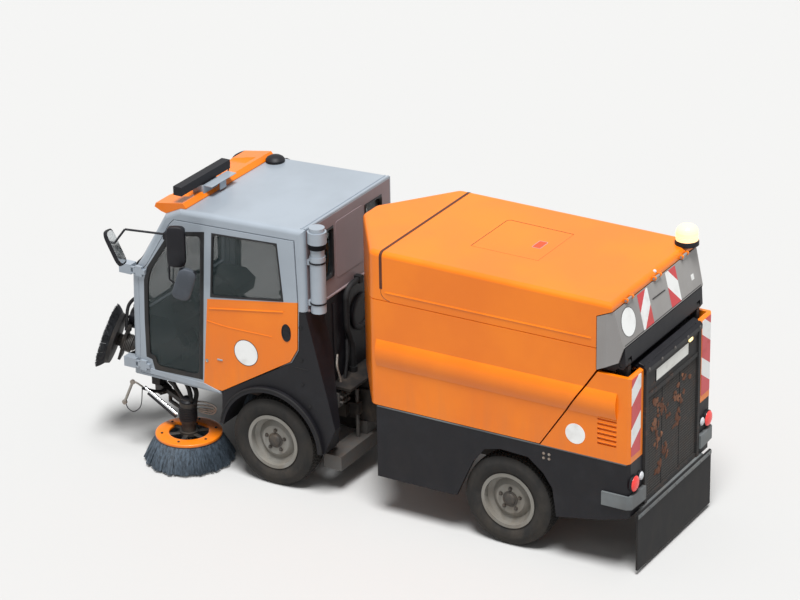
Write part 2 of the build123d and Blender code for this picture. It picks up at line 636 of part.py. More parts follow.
opening_face = offset(side_face(door_outline, -far), door_gap, kind=Kind.INTERSECTION)
door_opening = extrude(opening_face, 2 * far, dir=(1, 0, 0))
shell = shell - door_opening
arch_radius = tyre_radius + 60
housing_radius = arch_radius + 35
fender_outer_x = wheel_outer_x + 24
housing_x = wheel_outer_x - tyre_width - 22
below_door = [(door_tip[0] - 12, 0), (door_tip[0] - 12, door_tip[1] + 2),
              (door_heel[0] + 8, door_heel[1] - 6), (door_rear_low[0] + 8, door_rear_low[1] - 4),
              (door_rear_mid[0] + 8, 1425), (far, 1425), (far, 0)]
for side in (-1, 1):
    low = min(side * housing_x, side * far)
    high = max(side * housing_x, side * far)
    shell = shell - side_prism(below_door, low, high)
roof_slope = [(roof_edge_front_y - 46, 1981), (cab_rear_y + 10, 2014), (cab_rear_y + 10, far),
              (roof_edge_front_y - 46, far)]
roof_zone = side_prism(roof_slope, -far, far)
floor_zone = block(-inner_x, inner_x, nose_y + cab_wall, cab_rear_y - cab_wall,
                   0, cab_floor_z + cab_wall)
nose_half = cab_half_width - 62
nose_zone = block(-nose_half, nose_half, -far, screen_knee[0] + 60, 0, screen_foot_z)
screen_half = nose_half
screen_head_z = 1915
screen_hole = block(-screen_half, screen_half, -far, screen_top[0] + 60, screen_foot_z, screen_head_z)
window_low_x = 215
window_high_x = 455
window_low_z = 1560
window_high_z = 1950
frame_part = shell - screen_hole - roof_zone - floor_zone - nose_zone
for side in (-1, 1):
    low = min(side * window_low_x, side * window_high_x)
    high = max(side * window_low_x, side * window_high_x)
    frame_part = frame_part - block(low, high, cab_rear_y - 100, cab_rear_y + 100,
                                    window_low_z, window_high_z)
roof = shell & roof_zone
for rail_back, rail_radius in ((10, 8), (38, 6)):
    rail_y = cab_rear_y - rail_back
    rail_half = cab_half_width - edge_round
    roof = roof + rod((-rail_half, rail_y, cab_roof_rear_z), (rail_half, rail_y, cab_roof_rear_z),
                      rail_radius)
nodes["cab_roof"] = roof
nodes["cab_floor"] = shell & floor_zone
nodes["cab_nose"] = (shell & nose_zone) - floor_zone

# Door hinges: two leaves with a pin on the pillar, and a barrel on the door between them.
door_hinge_x = cab_half_width + 20
door_axis_y = door_front_y - door_gap
hinge_pin_radius = 6
barrel_half = 17
leaf_height = 10
strap_half = 38
hinge_levels = [("lower", 722), ("upper", 1470)]
hinge_cover_reach = 60
door_outer_x = cab_half_width + 6
door_inner_x = door_outer_x - 38


def hinge_leaves():
    """The pillar's half of both hinges on the left side."""
    shapes = []
    for _, level in hinge_levels:
        shapes.append(block(cab_half_width - 45, door_hinge_x + 8, nose_y - hinge_cover_reach, nose_y + 45,
                            level - strap_half, level + strap_half))
        for leaf_low in (level - barrel_half - leaf_height - 1, level + barrel_half + 1):
            shapes.append(block(door_hinge_x - 8, door_hinge_x + 8, nose_y + 12, door_axis_y,
                                leaf_low, leaf_low + leaf_height))
            shapes.append(rod((door_hinge_x, door_axis_y, leaf_low),
                              (door_hinge_x, door_axis_y, leaf_low + leaf_height), 8))
        shapes.append(rod((door_hinge_x, door_axis_y, level - barrel_half - leaf_height - 1),
                          (door_hinge_x, door_axis_y, level + barrel_half + leaf_height + 1),
                          hinge_pin_radius))
    return shapes


for shape in hinge_leaves():
    frame_part = frame_part + shape + twin(shape)
nodes["cab_frame"] = frame_part

# Doors: a silver frame, an orange lower panel and two panes, all in one plane.
front_pane = [(door_split_y, 1884), (nose_y + 389, 1828), (nose_y + 174, 1510), (nose_y + 141, 1400),
              (nose_y + 129, 1085), (nose_y + 129, 790), (nose_y + 179, 780), (nose_y + 201, 700),
              (door_tip[0] - 163, 712)]
rear_pane = [(door_split_y + 60, 1888), (door_rear_top[0] - 137, 1916), (door_rear_mid[0] - 114, 1478),
             (door_split_y + 26, 1384)]
panel_outline = [(door_split_y, 1366), door_rear_mid, door_rear_low, door_heel, door_tip,
                 (door_tip[0] - 158, cab_floor_z + 27)]
door_blank = side_prism(door_outline, door_inner_x, door_outer_x)
panel = side_prism(panel_outline, door_inner_x, door_outer_x)
handle_y = door_rear_mid[0] - 100
handle_z = 1241
recess = side_face([(handle_y - 36, handle_z - 62), (handle_y + 36, handle_z - 62),
                    (handle_y + 36, handle_z + 62), (handle_y - 36, handle_z + 62)], door_outer_x - 14)
recess = extrude(fillet(recess.vertices(), 34), 30, dir=(1, 0, 0))
door_frame = door_blank - side_prism(front_pane, 0, far) - side_prism(rear_pane, 0, far) - panel
for _, level in hinge_levels:
    door_frame = door_frame + rod((door_hinge_x, door_axis_y, level - barrel_half),
                                  (door_hinge_x, door_axis_y, level + barrel_half), 11)
    door_frame = door_frame + block(door_outer_x - 4, door_hinge_x + 8, door_axis_y, door_axis_y + 96,
                                    level - barrel_half, level + barrel_half)
    door_frame = door_frame + block(door_outer_x - 4, door_hinge_x + 8, door_axis_y + 14, door_axis_y + 70,
                                    level - strap_half, level + strap_half)
    door_frame = door_frame - rod((door_hinge_x, door_axis_y, level - 60),
                                  (door_hinge_x, door_axis_y, level + 60),
                                  hinge_pin_radius + running_gap)
pane_low_x = door_outer_x - 14
pane_high_x = door_outer_x - 8
panes = Compound([side_prism(front_pane, pane_low_x, pane_high_x),
                  side_prism(rear_pane, pane_low_x, pane_high_x)])

# Mirrors: a bracket on the door's front edge with a tall mirror, a round rear arm and a long
# thin arm that carries a second plate ahead of the windscreen.
mirror_y = nose_y + 381
mirror_shapes = [block(door_outer_x, door_outer_x + 40, mirror_y - 27, mirror_y + 28, 1775, 1825)]
mirror_rods = [((20, 0, 1812), (182, -252, 1862), 8), ((182, -252, 1862), (242, -304, 1770), 8),
               ((20, 0, 1788), (117, 118, 1795), 10), ((22, 8, 1790), (87, 48, 1500), 7),
               ((87, 48, 1500), (152, 198, 1480), 7)]
for start, end, rod_radius in mirror_rods:
    mirror_shapes.append(rod((door_outer_x + start[0], mirror_y + start[1], start[2]),
                             (door_outer_x + end[0], mirror_y + end[1], end[2]), rod_radius))


def mirror_head(place, width, height, depth):
    """A mirror with rounded corners, its glass facing rearward before it is turned."""
    face = Plane.XZ * RectangleRounded(width, height, width / 4)
    return place * extrude(face, depth / 2, both=True)


head_places = [((244, -302, 1735), (28, 0, 20), 150, 270, 22),
               ((120, 143, 1785), (0, 0, 115), 130, 300, 40),
               ((157, 223, 1525), (-20, 0, 115), 130, 250, 30)]
mirror_heads = []
for spot, turn, width, height, depth in head_places:
    place = Pos(door_outer_x + spot[0], mirror_y + spot[1], spot[2]) * Rot(*turn)
    mirror_heads.append(mirror_head(place, width, height, depth))
mirror_set = fused(mirror_shapes + mirror_heads)

door_nodes = [("door_frame", door_frame), ("door_panel", panel - recess), ("door_glass", panes),
              ("mirrors", mirror_set)]
for name, shape in door_nodes:
    nodes[name + "_left"] = shape
    nodes[name + "_right"] = twin(shape)

# Windscreen and the two rear windows.
glass_set_in = 10
glass_depth = 6
screen_line = [(nose_y + 15, screen_foot_z), (nose_knee[0], nose_knee[1]), (screen_knee[0], screen_knee[1]),
               (nose_y + 320, screen_head_z)]
outer_line = [(y + glass_set_in, z) for y, z in screen_line]
inner_line = [(y + glass_set_in + glass_depth, z) for y, z in reversed(screen_line)]
windscreen = side_prism(outer_line + inner_line, -screen_half, screen_half)
rear_glass = block(window_low_x, window_high_x, cab_rear_y - 24, cab_rear_y - 18,
                   window_low_z, window_high_z)
nodes["cab_glass"] = Compound([windscreen, rear_glass, twin(rear_glass)])

# Black wheel housings with the lockers behind the doors, and the fenders over the tyres.
housing_outline = [(door_tip[0] - 4, door_tip[1] - 6), (door_heel[0] + 10, door_heel[1] - 9),
                   (door_rear_low[0] + 10, door_rear_low[1] - 6), (door_rear_mid[0] + 10, 1422),
                   (cab_rear_y + 2, 1422), (cab_rear_y + 178, 746), (cab_rear_y + 223, 560),
                   (cab_rear_y + 118, 330), (door_tip[0] - 14, 330)]
housing = side_prism(housing_outline, housing_x + rest_gap, cab_half_width)
housing = housing - rod((0, front_axle_y, tyre_radius), (far, front_axle_y, tyre_radius), housing_radius)
housing = housing - block(0, far, -far, front_axle_y, 0, tyre_radius + 130)
housing = housing - rod((0, joint_y, 0), (0, joint_y, far), swing_clear_radius)
fender = rod((housing_x + rest_gap, front_axle_y, tyre_radius), (fender_outer_x, front_axle_y, tyre_radius),
             housing_radius)
fender = fender - rod((0, front_axle_y, tyre_radius), (far, front_axle_y, tyre_radius), arch_radius)
fender_cut = [(front_axle_y - 700, tyre_radius + 120), (front_axle_y, tyre_radius),
              (front_axle_y + 700, tyre_radius + 20), (front_axle_y + 700, -far), (front_axle_y - 700, -far)]
fender = fender - side_prism(fender_cut, 0, far)
nodes["front_fenders"] = pair(housing + fender)

# Roof fairing, light bar with its bracket, headlamps and the air intake behind the cab.
roof_y = roof_edge_front_y
roof_z = cab_roof_front_z
fairing_outline = [(roof_y - 227, roof_z - 26), (roof_y - 214, roof_z + 4), (roof_y + 18, roof_z + 42),
                   (roof_y + 46, roof_z + 10), (roof_y + 46, roof_z + 2.2), (roof_y + 1, roof_z + 0.6),
                   (roof_y - 130, roof_z - 61.4), (roof_y - 172, roof_z - 52)]
fairing_half = cab_half_width - 27
fairing = side_prism(fairing_outline, -fairing_half, fairing_half)
fairing = fairing - outer_cab
for centre in (-370, 0, 370):
    scoop = rod((centre, roof_y - 292, roof_z + 82), (centre, roof_y - 22, roof_z + 82), 85)
    fairing = fairing - scoop
nodes["roof_fairing"] = fairing
bar_bracket = block(150, 330, roof_y - 62, roof_y + 28, roof_z + 20, roof_z + 96)
light_bar = block(-40, cab_half_width - 22, roof_y - 54, roof_y + 16, roof_z + 96, roof_z + 162)
nodes["light_bar"] = fused([light_bar, bar_bracket]) - outer_cab - fairing

lamp_z = 1000
headlamp_radius = 70
lamp_shapes = []
for side in (-1, 1):
    lamp_x = side * (nose_half - 90)
    lamp_shapes.append(rod((lamp_x, nose_y - 22, lamp_z), (lamp_x, nose_y + 20, lamp_z), headlamp_radius))
    nodes["cab_nose"] = nodes["cab_nose"] - rod((lamp_x, -far, lamp_z), (lamp_x, 0, lamp_z),
                                                headlamp_radius + running_gap)
nodes["headlamps"] = Compound(lamp_shapes)

stack_cap_radius = 68
stack_x = cab_half_width - 72
stack_y = cab_rear_y + stack_cap_radius + 2
stack = rod((stack_x, stack_y, 1425), (stack_x, stack_y, 1850), 56)
for bracket_z in (1470, 1780):
    stack = stack + block(stack_x - 30, stack_x + 30, cab_rear_y + rest_gap, stack_y,
                          bracket_z, bracket_z + 40)
stack = stack + rod((stack_x, stack_y, 1850), (stack_x, stack_y, 1905), 50)
stack = stack + rod((stack_x, stack_y, 1905), (stack_x, stack_y, 1950), 34)
stack = stack + rod((stack_x, stack_y, 1950), (stack_x, stack_y, 2036), stack_cap_radius)
stack = stack + rod((stack_x, stack_y, 2036), (stack_x, stack_y, 2066), stack_cap_radius - 12)
nodes["intake_stack"] = stack

# Hose down the back of the cab, from a socket in the rear wall to one in the deck plate.
hose_radius = 22
hose_y = cab_rear_y + hose_radius + 5
hose_foot_y = hose_y + 10
deck_top_z = plate_low_z + 20
hose_top_z = 1436
hose_points = [(-60, hose_y, hose_top_z), (106, hose_y, hose_top_z - 16), (106, hose_y, 1120),
               (46, hose_foot_y, 960),
               (46, hose_foot_y, deck_top_z + 32)]
hose_line = FilletPolyline(*hose_points, radius=[90, 160, 160])
hose = sweep(Plane(origin=hose_line @ 0, z_dir=hose_line % 0) * Circle(hose_radius), path=hose_line)
hose = hose + rod((46, hose_foot_y, deck_top_z), (46, hose_foot_y, deck_top_z + 40), hose_radius + 9)
hose = hose + block(-92, -50, cab_rear_y + rest_gap, hose_y + 26, hose_top_z - 28, hose_top_z + 28)
nodes["cab_hose"] = hose

# Inside the cab: two seats, the dashboard and the steering column with its wheel.
seat_width = 430
cushion_low_z = 960
seat_top_z = 1080
seat_x = 265
seat_y = cab_rear_y - 762
seat_shapes = []
for centre in (-seat_x, seat_x):
    half = seat_width / 2
    cushion = block(centre - half, centre + half, seat_y, seat_y + 520, cushion_low_z, seat_top_z)
    back_outline = [(seat_y + 440, seat_top_z - 10), (seat_y + 520, 1760), (seat_y + 630, 1760),
                    (seat_y + 590, 1040), (seat_y + 515, 1040)]
    back = side_prism(back_outline, centre - half, centre + half)
    pedestal = block(centre - 120, centre + 120, seat_y + 50, seat_y + 460, cab_floor_z + cab_wall,
                     cushion_low_z)
    seat_shapes.append(fused([cushion, back, pedestal]))
nodes["seats"] = Compound(seat_shapes)
dash_front_y = nose_y + cab_wall + 2
dash_outline = [(dash_front_y, cab_floor_z + cab_wall), (dash_front_y + 14, 1092), (nose_y + 269, 1092),
                (nose_y + 349, 1030), (nose_y + 329, 940), (nose_y + 189, 860),
                (nose_y + 189, cab_floor_z + cab_wall)]
dashboard = side_prism(dash_outline, -530, 530)
wheel_centre = (seat_x, nose_y + 499, 1250)
wheel_tilt = 38
grip_section = [(176, 0), (183, -12), (197, -12), (204, 0), (197, 12), (183, 12)]
grip = revolve(Plane.XZ * Polygon(*grip_section, align=None), Axis.Z)
grip = Pos(*wheel_centre) * Rot(-wheel_tilt, 0, 0) * grip
spoke = Pos(*wheel_centre) * Rot(-wheel_tilt, 0, 0) * Box(370, 34, 12)
column = rod((seat_x, nose_y + 254, 1000), wheel_centre, 24)
nodes["dashboard"] = fused([dashboard, column, spoke, grip])

# Suction nozzle behind the front wheels, hung on two guide posts of the front chassis.
nozzle_half_width = 500
nozzle_low_z = 180
nozzle_high_z = 292
nozzle_shapes = [block(-nozzle_half_width, nozzle_half_width, nozzle_post_y - 75, nozzle_post_y + 70,
                       nozzle_low_z, nozzle_high_z)]
nozzle_shapes.append(block(-90, 90, nozzle_post_y - 50, nozzle_post_y + 40, nozzle_high_z - 5,
                           fork_low[0] - 7))
for side in (-1, 1):
    nozzle_shapes.append(rod((side * nozzle_post_x, nozzle_post_y, nozzle_high_z - 5),
                             (side * nozzle_post_x, nozzle_post_y, plate_low_z - 60), nozzle_post_radius))
nodes["suction_nozzle"] = fused(nozzle_shapes)

# Side brushes: a bracket on a king pin, an arm that lifts, and a disc with its bristles.
arm_reach = math.hypot(brush_x - arm_pivot_x, brush_y - arm_pivot_y)
arm_turn = math.degrees(math.atan2(brush_y - arm_pivot_y, brush_x - arm_pivot_x))
king_pin_radius = 22
lift_x = 75
lift_pin_radius = 12
arm_place = Pos(arm_pivot_x, arm_pivot_y, arm_pivot_z) * Rot(0, 0, arm_turn)
for side in (-1, 1):
    front_frame = front_frame - rod((side * arm_pivot_x, arm_pivot_y, rail_low_z - 70),
                                    (side * arm_pivot_x, arm_pivot_y, rail_high_z + 30),
                                    king_pin_radius + running_gap)
boom_x = 80
boom_y = nose_y - 71
post_radius = 20
front_frame = front_frame + block(boom_x - 40, boom_x + 40, boom_y - 30, nose_y + 60, 480, 550)
front_frame = front_frame + rod((boom_x, boom_y, 500), (boom_x, boom_y, 905), post_radius)
nodes["front_frame"] = front_frame
beam_under = rail_low_z - arm_pivot_z - running_gap
bracket = rod((0, 0, -70), (0, 0, rail_high_z - arm_pivot_z + 8), king_pin_radius)
bracket = bracket + block(-34, 44, -34, 34, -70, beam_under)
for side in (-1, 1):
    ear_low = side * 31 - 7
    bracket = bracket + block(30, lift_x + 20, ear_low, ear_low + 14, -40, beam_under)
bracket = bracket + rod((lift_x, -42, -10), (lift_x, 42, -10), lift_pin_radius)
arm_end = arm_reach
arm = rod((lift_x, -23, -10), (lift_x, 23, -10), 26)
arm = arm + block(lift_x, arm_end - 40, -20, 20, -28, 8)
arm = arm + rod((arm_end, 0, ring_z + 90 - arm_pivot_z), (arm_end, 0, 10), 62)
arm = arm + rod((arm_end, 0, 10), (arm_end, 0, 42), 40)
arm = arm + rod((lift_x + 60, 0, -88), (arm_end - 40, 0, -80), 14)
arm = arm + rod((lift_x + 60, 0, -88), (lift_x + 60, 0, -20), 14)
arm = arm - rod((lift_x, -60, -10), (lift_x, 60, -10), lift_pin_radius + running_gap)
hub = rod((0, 0, ring_z - 6), (0, 0, ring_z + 90 - running_gap), 52)
plate = rod((0, 0, ring_z - 12), (0, 0, ring_z + 10), ring_radius)
plate = plate - rod((0, 0, 0), (0, 0, far), 146)
head = plate + hub
for index in range(3):
    head = head + Rot(0, 0, 60 * index) * Pos(0, 0, ring_z) * Box(310, 40, 12)
ring_low_z = ring_z - 12
bristle_profile = [(165, ring_low_z), (238, ring_low_z), (brush_radius, brush_foot_z),
                   (brush_radius - 60, brush_foot_z)]
bristles = revolve(Plane.XZ * Polygon(*bristle_profile, align=None), Axis.Z)
brush = Pos(brush_x, brush_y, 0) * (head + bristles)
brush_nodes = [("brush_bracket", arm_place * bracket), ("brush_arm", arm_place * arm), ("side_brush", brush)]
for name, shape in brush_nodes:
    nodes[name + "_left"] = shape
    nodes[name + "_right"] = twin(shape)

# Front brush on its boom, folded up ahead of the nose.
boom_head = (395, nose_y - 175, 740)
sleeve = rod((boom_x, boom_y, 552), (boom_x, boom_y, 880), 34)
boom = sleeve + rod((boom_x, boom_y, 760), (boom_head[0], boom_head[1], 760), 28)
boom = boom + rod((boom_x, boom_y, 650), (boom_head[0], boom_head[1], 650), 18)
disc_turn = 20
disc_tilt = 72
disc_place = Pos(boom_head[0], boom_head[1], boom_head[2]) * Rot(0, 0, disc_turn) * Rot(disc_tilt, 0, 0)
motor = disc_place * rod((0, 0, -20), (0, 0, 60), 60)
head_plate = disc_place * Pos(0, 0, 40) * Box(120, 260, 20)
boom = fused([boom, motor, head_plate])
boom = boom - rod((boom_x, boom_y, 400), (boom_x, boom_y, 1000), post_radius + running_gap)
nodes["front_boom"] = boom
small_profile = [(0, 60 + running_gap), (45, 60 + running_gap), (45, 98), (190, 100), (250, 190),
                 (210, 190), (170, 130), (0, 130)]
small_brush = revolve(Plane.XZ * Polygon(*small_profile, align=None), Axis.Z)
nodes["front_brush"] = disc_place * small_brush

count = {}
for name, shape in nodes.items():
    export_step(shape, "parts/" + name + ".step")
    count[name] = len(shape.solids())
print(count)
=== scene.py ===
# Dresses the street sweeper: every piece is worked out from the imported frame, in metres.
# +X is the machine's left, -Y its front, +Z up, and the ground is z = 0.
import bpy
import bmesh
import math
import numpy as np
from mathutils import Matrix, Vector


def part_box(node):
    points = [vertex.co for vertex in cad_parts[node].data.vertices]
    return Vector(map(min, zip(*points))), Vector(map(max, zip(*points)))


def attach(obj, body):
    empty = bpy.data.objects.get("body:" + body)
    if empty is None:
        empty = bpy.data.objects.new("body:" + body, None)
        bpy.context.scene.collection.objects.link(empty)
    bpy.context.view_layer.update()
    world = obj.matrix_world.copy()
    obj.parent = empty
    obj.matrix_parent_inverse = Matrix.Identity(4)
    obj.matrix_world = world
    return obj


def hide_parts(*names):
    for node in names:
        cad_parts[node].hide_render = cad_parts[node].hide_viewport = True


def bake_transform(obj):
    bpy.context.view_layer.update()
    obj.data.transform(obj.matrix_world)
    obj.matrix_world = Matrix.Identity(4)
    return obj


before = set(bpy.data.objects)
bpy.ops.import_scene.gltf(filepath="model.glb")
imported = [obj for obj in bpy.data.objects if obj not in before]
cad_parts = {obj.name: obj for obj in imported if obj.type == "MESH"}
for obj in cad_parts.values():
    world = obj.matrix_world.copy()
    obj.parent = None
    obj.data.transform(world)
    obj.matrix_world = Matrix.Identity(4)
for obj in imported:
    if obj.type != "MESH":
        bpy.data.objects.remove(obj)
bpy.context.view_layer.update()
rng = np.random.default_rng(2020)
sides = {"left": 1, "right": -1}
scene = bpy.context.scene


# Meshes: a part is a pair, an array of points and a list of faces.
def gridQuads(rows, cols, wrapRows=False, wrapCols=False):
    # every cell of a rows by cols grid as its four corners, going round where the grid closes
    a, b = np.meshgrid(np.arange(rows - (not wrapRows)), np.arange(cols - (not wrapCols)), indexing="ij")
    c, d = (a + 1) % rows, (b + 1) % cols
    return np.stack([a * cols + b, a * cols + d, c * cols + d, c * cols + b], -1).reshape(-1, 4).tolist()


def surface(points, wrapRows=False, wrapCols=False):
    # a grid of points (rows, cols, 3) with a quad in each cell
    return points.reshape(-1, 3), gridQuads(*points.shape[:2], wrapRows, wrapCols)


def capped(loops):
    # loops of equal length as one skin, the first and the last closed by a flat face
    points, faces = surface(np.stack(loops), wrapCols=True)
    first = np.arange(len(loops[0]))
    last = first + len(points) - len(first)
    return points, faces + [first[::-1].tolist(), last.tolist()]


def frameOf(loops):
    # loops that follow each other round a section and back to the first, as on a picture frame
    return surface(np.stack(loops), True, True)


def joined(parts):
    # several parts as one: each part's faces count on from the points before it
    points, faces, start = [], [], 0
    for verts, polys in parts:
        points.append(verts)
        faces += [[i + start for i in poly] for poly in polys]
        start += len(verts)
    return np.concatenate(points), faces


def moved(part, matrix):
    # point -> matrix times point
    m = np.array(matrix)
    return part[0] @ m[:3, :3].T + m[:3, 3], part[1]


def turned(degrees, axis):
    # a turn about X, Y or Z through the origin
    return Matrix.Rotation(math.radians(degrees), 4, axis)


def onSide(part, sign):
    # the part as it is on the left, or with x -> -x on the right
    return part[0] * [sign, 1, 1], part[1]


def bothSides(*parts):
    # the parts and their mirror images
    return joined([onSide(part, sign) for sign in sides.values() for part in parts])


def circle(steps, first=0.0):
    # even angles once round, from the first one on
    return np.linspace(0, 2 * np.pi, steps, endpoint=False) + first


def ellipse(centre, halfA, halfB, steps=40, first=0.0):
    # centre + (halfA*cos, halfB*sin)
    turn = circle(steps, first)
    return np.stack([centre[0] + halfA * np.cos(turn), centre[1] + halfB * np.sin(turn)], -1)


def eased(value, power):
    # sign(v)*|v|^power, which squares up a circle's sine or cosine
    return np.sign(value) * np.abs(value) ** power


def unit(vectors):
    # vectors over their own length
    vectors = np.asarray(vectors, float)
    return vectors / np.maximum(np.linalg.norm(vectors, axis=-1, keepdims=True), 1e-9)


def onAxis(along, across, upward, axis):
    # points from a length along one axis and two measures on the others, in the order X, Y, Z
    order = dict(X=(along, across, upward), Y=(across, along, upward), Z=(across, upward, along))
    return np.stack(order[axis], -1)


def placed(flat, depth, axis):
    # a flat outline at one station along X, Y or Z
    flat = np.asarray(flat, float)
    return onAxis(np.full(len(flat), float(depth)), flat[:, 0], flat[:, 1], axis)


def lathe(profile, steps=48, axis="Z", centre=(0, 0, 0), closed=False):
    # a profile of (along, radius) turned about an axis: point = centre + along*axis + radius*(cos, sin)
    along, radius = np.asarray(profile, float).T[:, :, None]
    ways = [radius * np.cos(circle(steps)), radius * np.sin(circle(steps))]
    ways = ways[::-1] if axis == "Y" else ways
    return surface(onAxis(np.repeat(along, steps, 1), *ways, axis) + np.array(centre), closed, True)


def drum(low, high, radius, steps, axis, centre):
    # a plain round bar
    return lathe([(low, 0), (low, radius), (high, radius), (high, 0)], steps, axis, centre)


def collars(places, inner, outer, thick, steps=36, axis="Z", centre=(0, 0, 0)):
    # flat rings of one size, one at each place along the axis
    sections = [[(low, inner), (low, outer), (low + thick, outer), (low + thick, inner)] for low in places]
    return [lathe(section, steps, axis, centre, True) for section in sections]


def dome(base, rise, radius, steps):
    # a lathe profile of a quarter ellipse: along = base + rise*sin(t), radius*cos(t)
    t = np.linspace(0, np.pi / 2, steps)
    return np.stack([base + rise * np.sin(t), radius * np.cos(t)], -1)


def roundedLoop(corners, radius, steps=6):
    # a closed outline whose corners are arcs: each arc runs between the two tangent points of its
    # corner, as a quadratic curve with the corner as its middle handle
    corners = np.asarray(corners, float)
    arms = [np.roll(corners, shift, 0) - corners for shift in (1, -1)]
    reach = np.minimum(radius, 0.45 * np.minimum(*[np.linalg.norm(arm, axis=1) for arm in arms]))[:, None]
    start, end = (corners[:, None] + (unit(arm) * reach)[:, None] for arm in arms)
    t = np.linspace(0, 1, steps)[None, :, None]
    arcs = (1 - t) ** 2 * start + 2 * t * (1 - t) * corners[:, None] + t ** 2 * end
    return arcs.reshape(-1, 2)


def roundedBox(x0, x1, z0, z1, round=0.004, steps=4):
    # a rectangle with rounded corners
    return roundedLoop([(x0, z0), (x1, z0), (x1, z1), (x0, z1)], round, steps)


def insetLoop(loop, distance):
    # each point moves inward along the mean of its two edges' normals, whichever way the loop turns
    loop = np.asarray(loop, float)
    after = np.roll(loop, -1, 0)
    edge = unit(after - loop)
    normal = np.stack([-edge[:, 1], edge[:, 0]], -1)
    mean = unit(normal + np.roll(normal, 1, 0))
    share = np.maximum((mean * normal).sum(1, keepdims=True), 0.4)
    area = (loop[:, 0] * after[:, 1] - after[:, 0] * loop[:, 1]).sum()
    return loop + mean * distance / share * np.sign(area)


def prism(outline, low, high, axis="X", round=0.0):
    # an outline carried from low to high, its rims drawn in by a small round at both ends
    rings = [(low, round), (low + round, 0.0), (high - round, 0.0), (high, round)]
    rings = rings if round else rings[::2]
    return capped([placed(insetLoop(outline, inset), depth, axis) for depth, inset in rings])


def ring(outline, width, low, high, axis="X"):
    # a frame that follows an outline: outer wall, front, inner wall and back as four strips
    inner = insetLoop(outline, width)
    return frameOf([placed(loop, depth, axis) for loop, depth in (
        (outline, low), (outline, high), (inner, high), (inner, low))])


def gasket(outline, width, low, high, soft, axis="X"):
    # a seal whose outer edge keeps the opening's corners and whose inner edge rounds them
    outer = roundedLoop(outline, 0.004, 6)
    inner = roundedLoop(insetLoop(outline, width), soft, 6)
    crown = high + 0.3 * (high - low)
    return frameOf([placed(loop, depth, axis) for loop, depth in (
        (outer, low), (outer, high), ((outer + inner) / 2, crown), (inner, high), (inner, low))])


def patch(loop, normal, thick, sink=0.0004):
    # a thin plate on a face: front loop = outline + normal*thick, back loop = outline - normal*sink
    return capped([loop - normal * sink, loop + normal * thick])


def disc(centre, radius, thick):
    # a flat round plate from a face at X outward, its rim bevelled over half the thickness
    edge = thick / 2
    return lathe([(0, 0), (0, radius), (edge, radius), (thick, radius - edge), (thick, 0)], 48, "X", centre)


def slab(low, high, round=0.003):
    # a block between two corners with its long edges rounded
    (x0, y0, z0), (x1, y1, z1) = low, high
    return prism(roundedBox(x0, x1, z0, z1, round * 2, 3), y0, y1, "Y", round)


def smoothPath(points, count):
    # a Catmull-Rom curve through the points: four neighbours weighted by cubic sums of t
    points = np.asarray(points, float)
    padded = np.vstack([2 * points[0] - points[1], points, 2 * points[-1] - points[-2]])
    place = np.linspace(0, len(points) - 1 - 1e-9, count)
    cell, t = place.astype(int), (place % 1)[:, None]
    a, b, c, d = (padded[cell + k] for k in range(4))
    square, cube = 2 * a - 5 * b + 4 * c - d, 3 * b - a - 3 * c + d
    return b + ((c - a) * t + square * t ** 2 + cube * t ** 3) / 2


def tube(path, radius, steps=12, closed=False):
    # circles carried along a path: point = centre + radius*(cos*side + sin*up), the ends drawn shut
    path = np.asarray(path, float)
    along = unit(np.roll(path, -1, 0) - np.roll(path, 1, 0) if closed else np.gradient(path, axis=0))
    steady = np.eye(3)[np.argmin(np.abs(along).max(0))]
    side = unit(np.cross(along, steady))
    up = np.cross(side, along)
    radius = np.broadcast_to(radius, len(path))
    turn = circle(steps)[None, :, None]
    wheel = np.cos(turn) * side[:, None] + np.sin(turn) * up[:, None]
    if not closed:
        radius = np.concatenate([[0], radius, [0]])
        path, wheel = (values[np.r_[0, :len(values), -1]] for values in (path, wheel))
    return surface(path[:, None] + radius[:, None, None] * wheel, closed, True)


def curved(points, count, radius, steps=8):
    # a tube along the smooth curve through some points
    return tube(smoothPath(points, count), radius, steps)


def ribbedHose(path, radius, pitch=0.0075):
    # a tube whose radius swings with the length run: r*(1 + 0.09*sin(2 pi s / pitch))
    length = np.linalg.norm(np.diff(smoothPath(path, 60), axis=0), axis=1).sum()
    line = smoothPath(path, max(int(length / pitch * 4), 20))
    return tube(line, radius * (1 + 0.09 * np.sin(np.arange(len(line)) * np.pi / 2)), 10)


def ball(centre, radius, squashZ=1.0, steps=16):
    # a half circle turned about Z and flattened
    t = np.linspace(-np.pi / 2, np.pi / 2, steps)
    return lathe(np.stack([np.sin(t) * radius * squashZ, np.cos(t) * radius], -1), steps * 2, "Z", centre)


def boltHeads(places, radius, height, axis, sign=1):
    # six-sided heads with a round washer, standing out from a face
    high = sign * height
    washer = [(0, 0), (0, radius * 1.35), (high * 0.25, radius * 1.35), (high * 0.25, 0)]
    head = [(0, 0), (0, radius), (high * 0.85, radius), (high, radius * 0.86), (high, 0)]
    shapes = ((washer, 14), (head, 6))
    return joined([lathe(profile, steps, axis, place) for place in places for profile, steps in shapes])


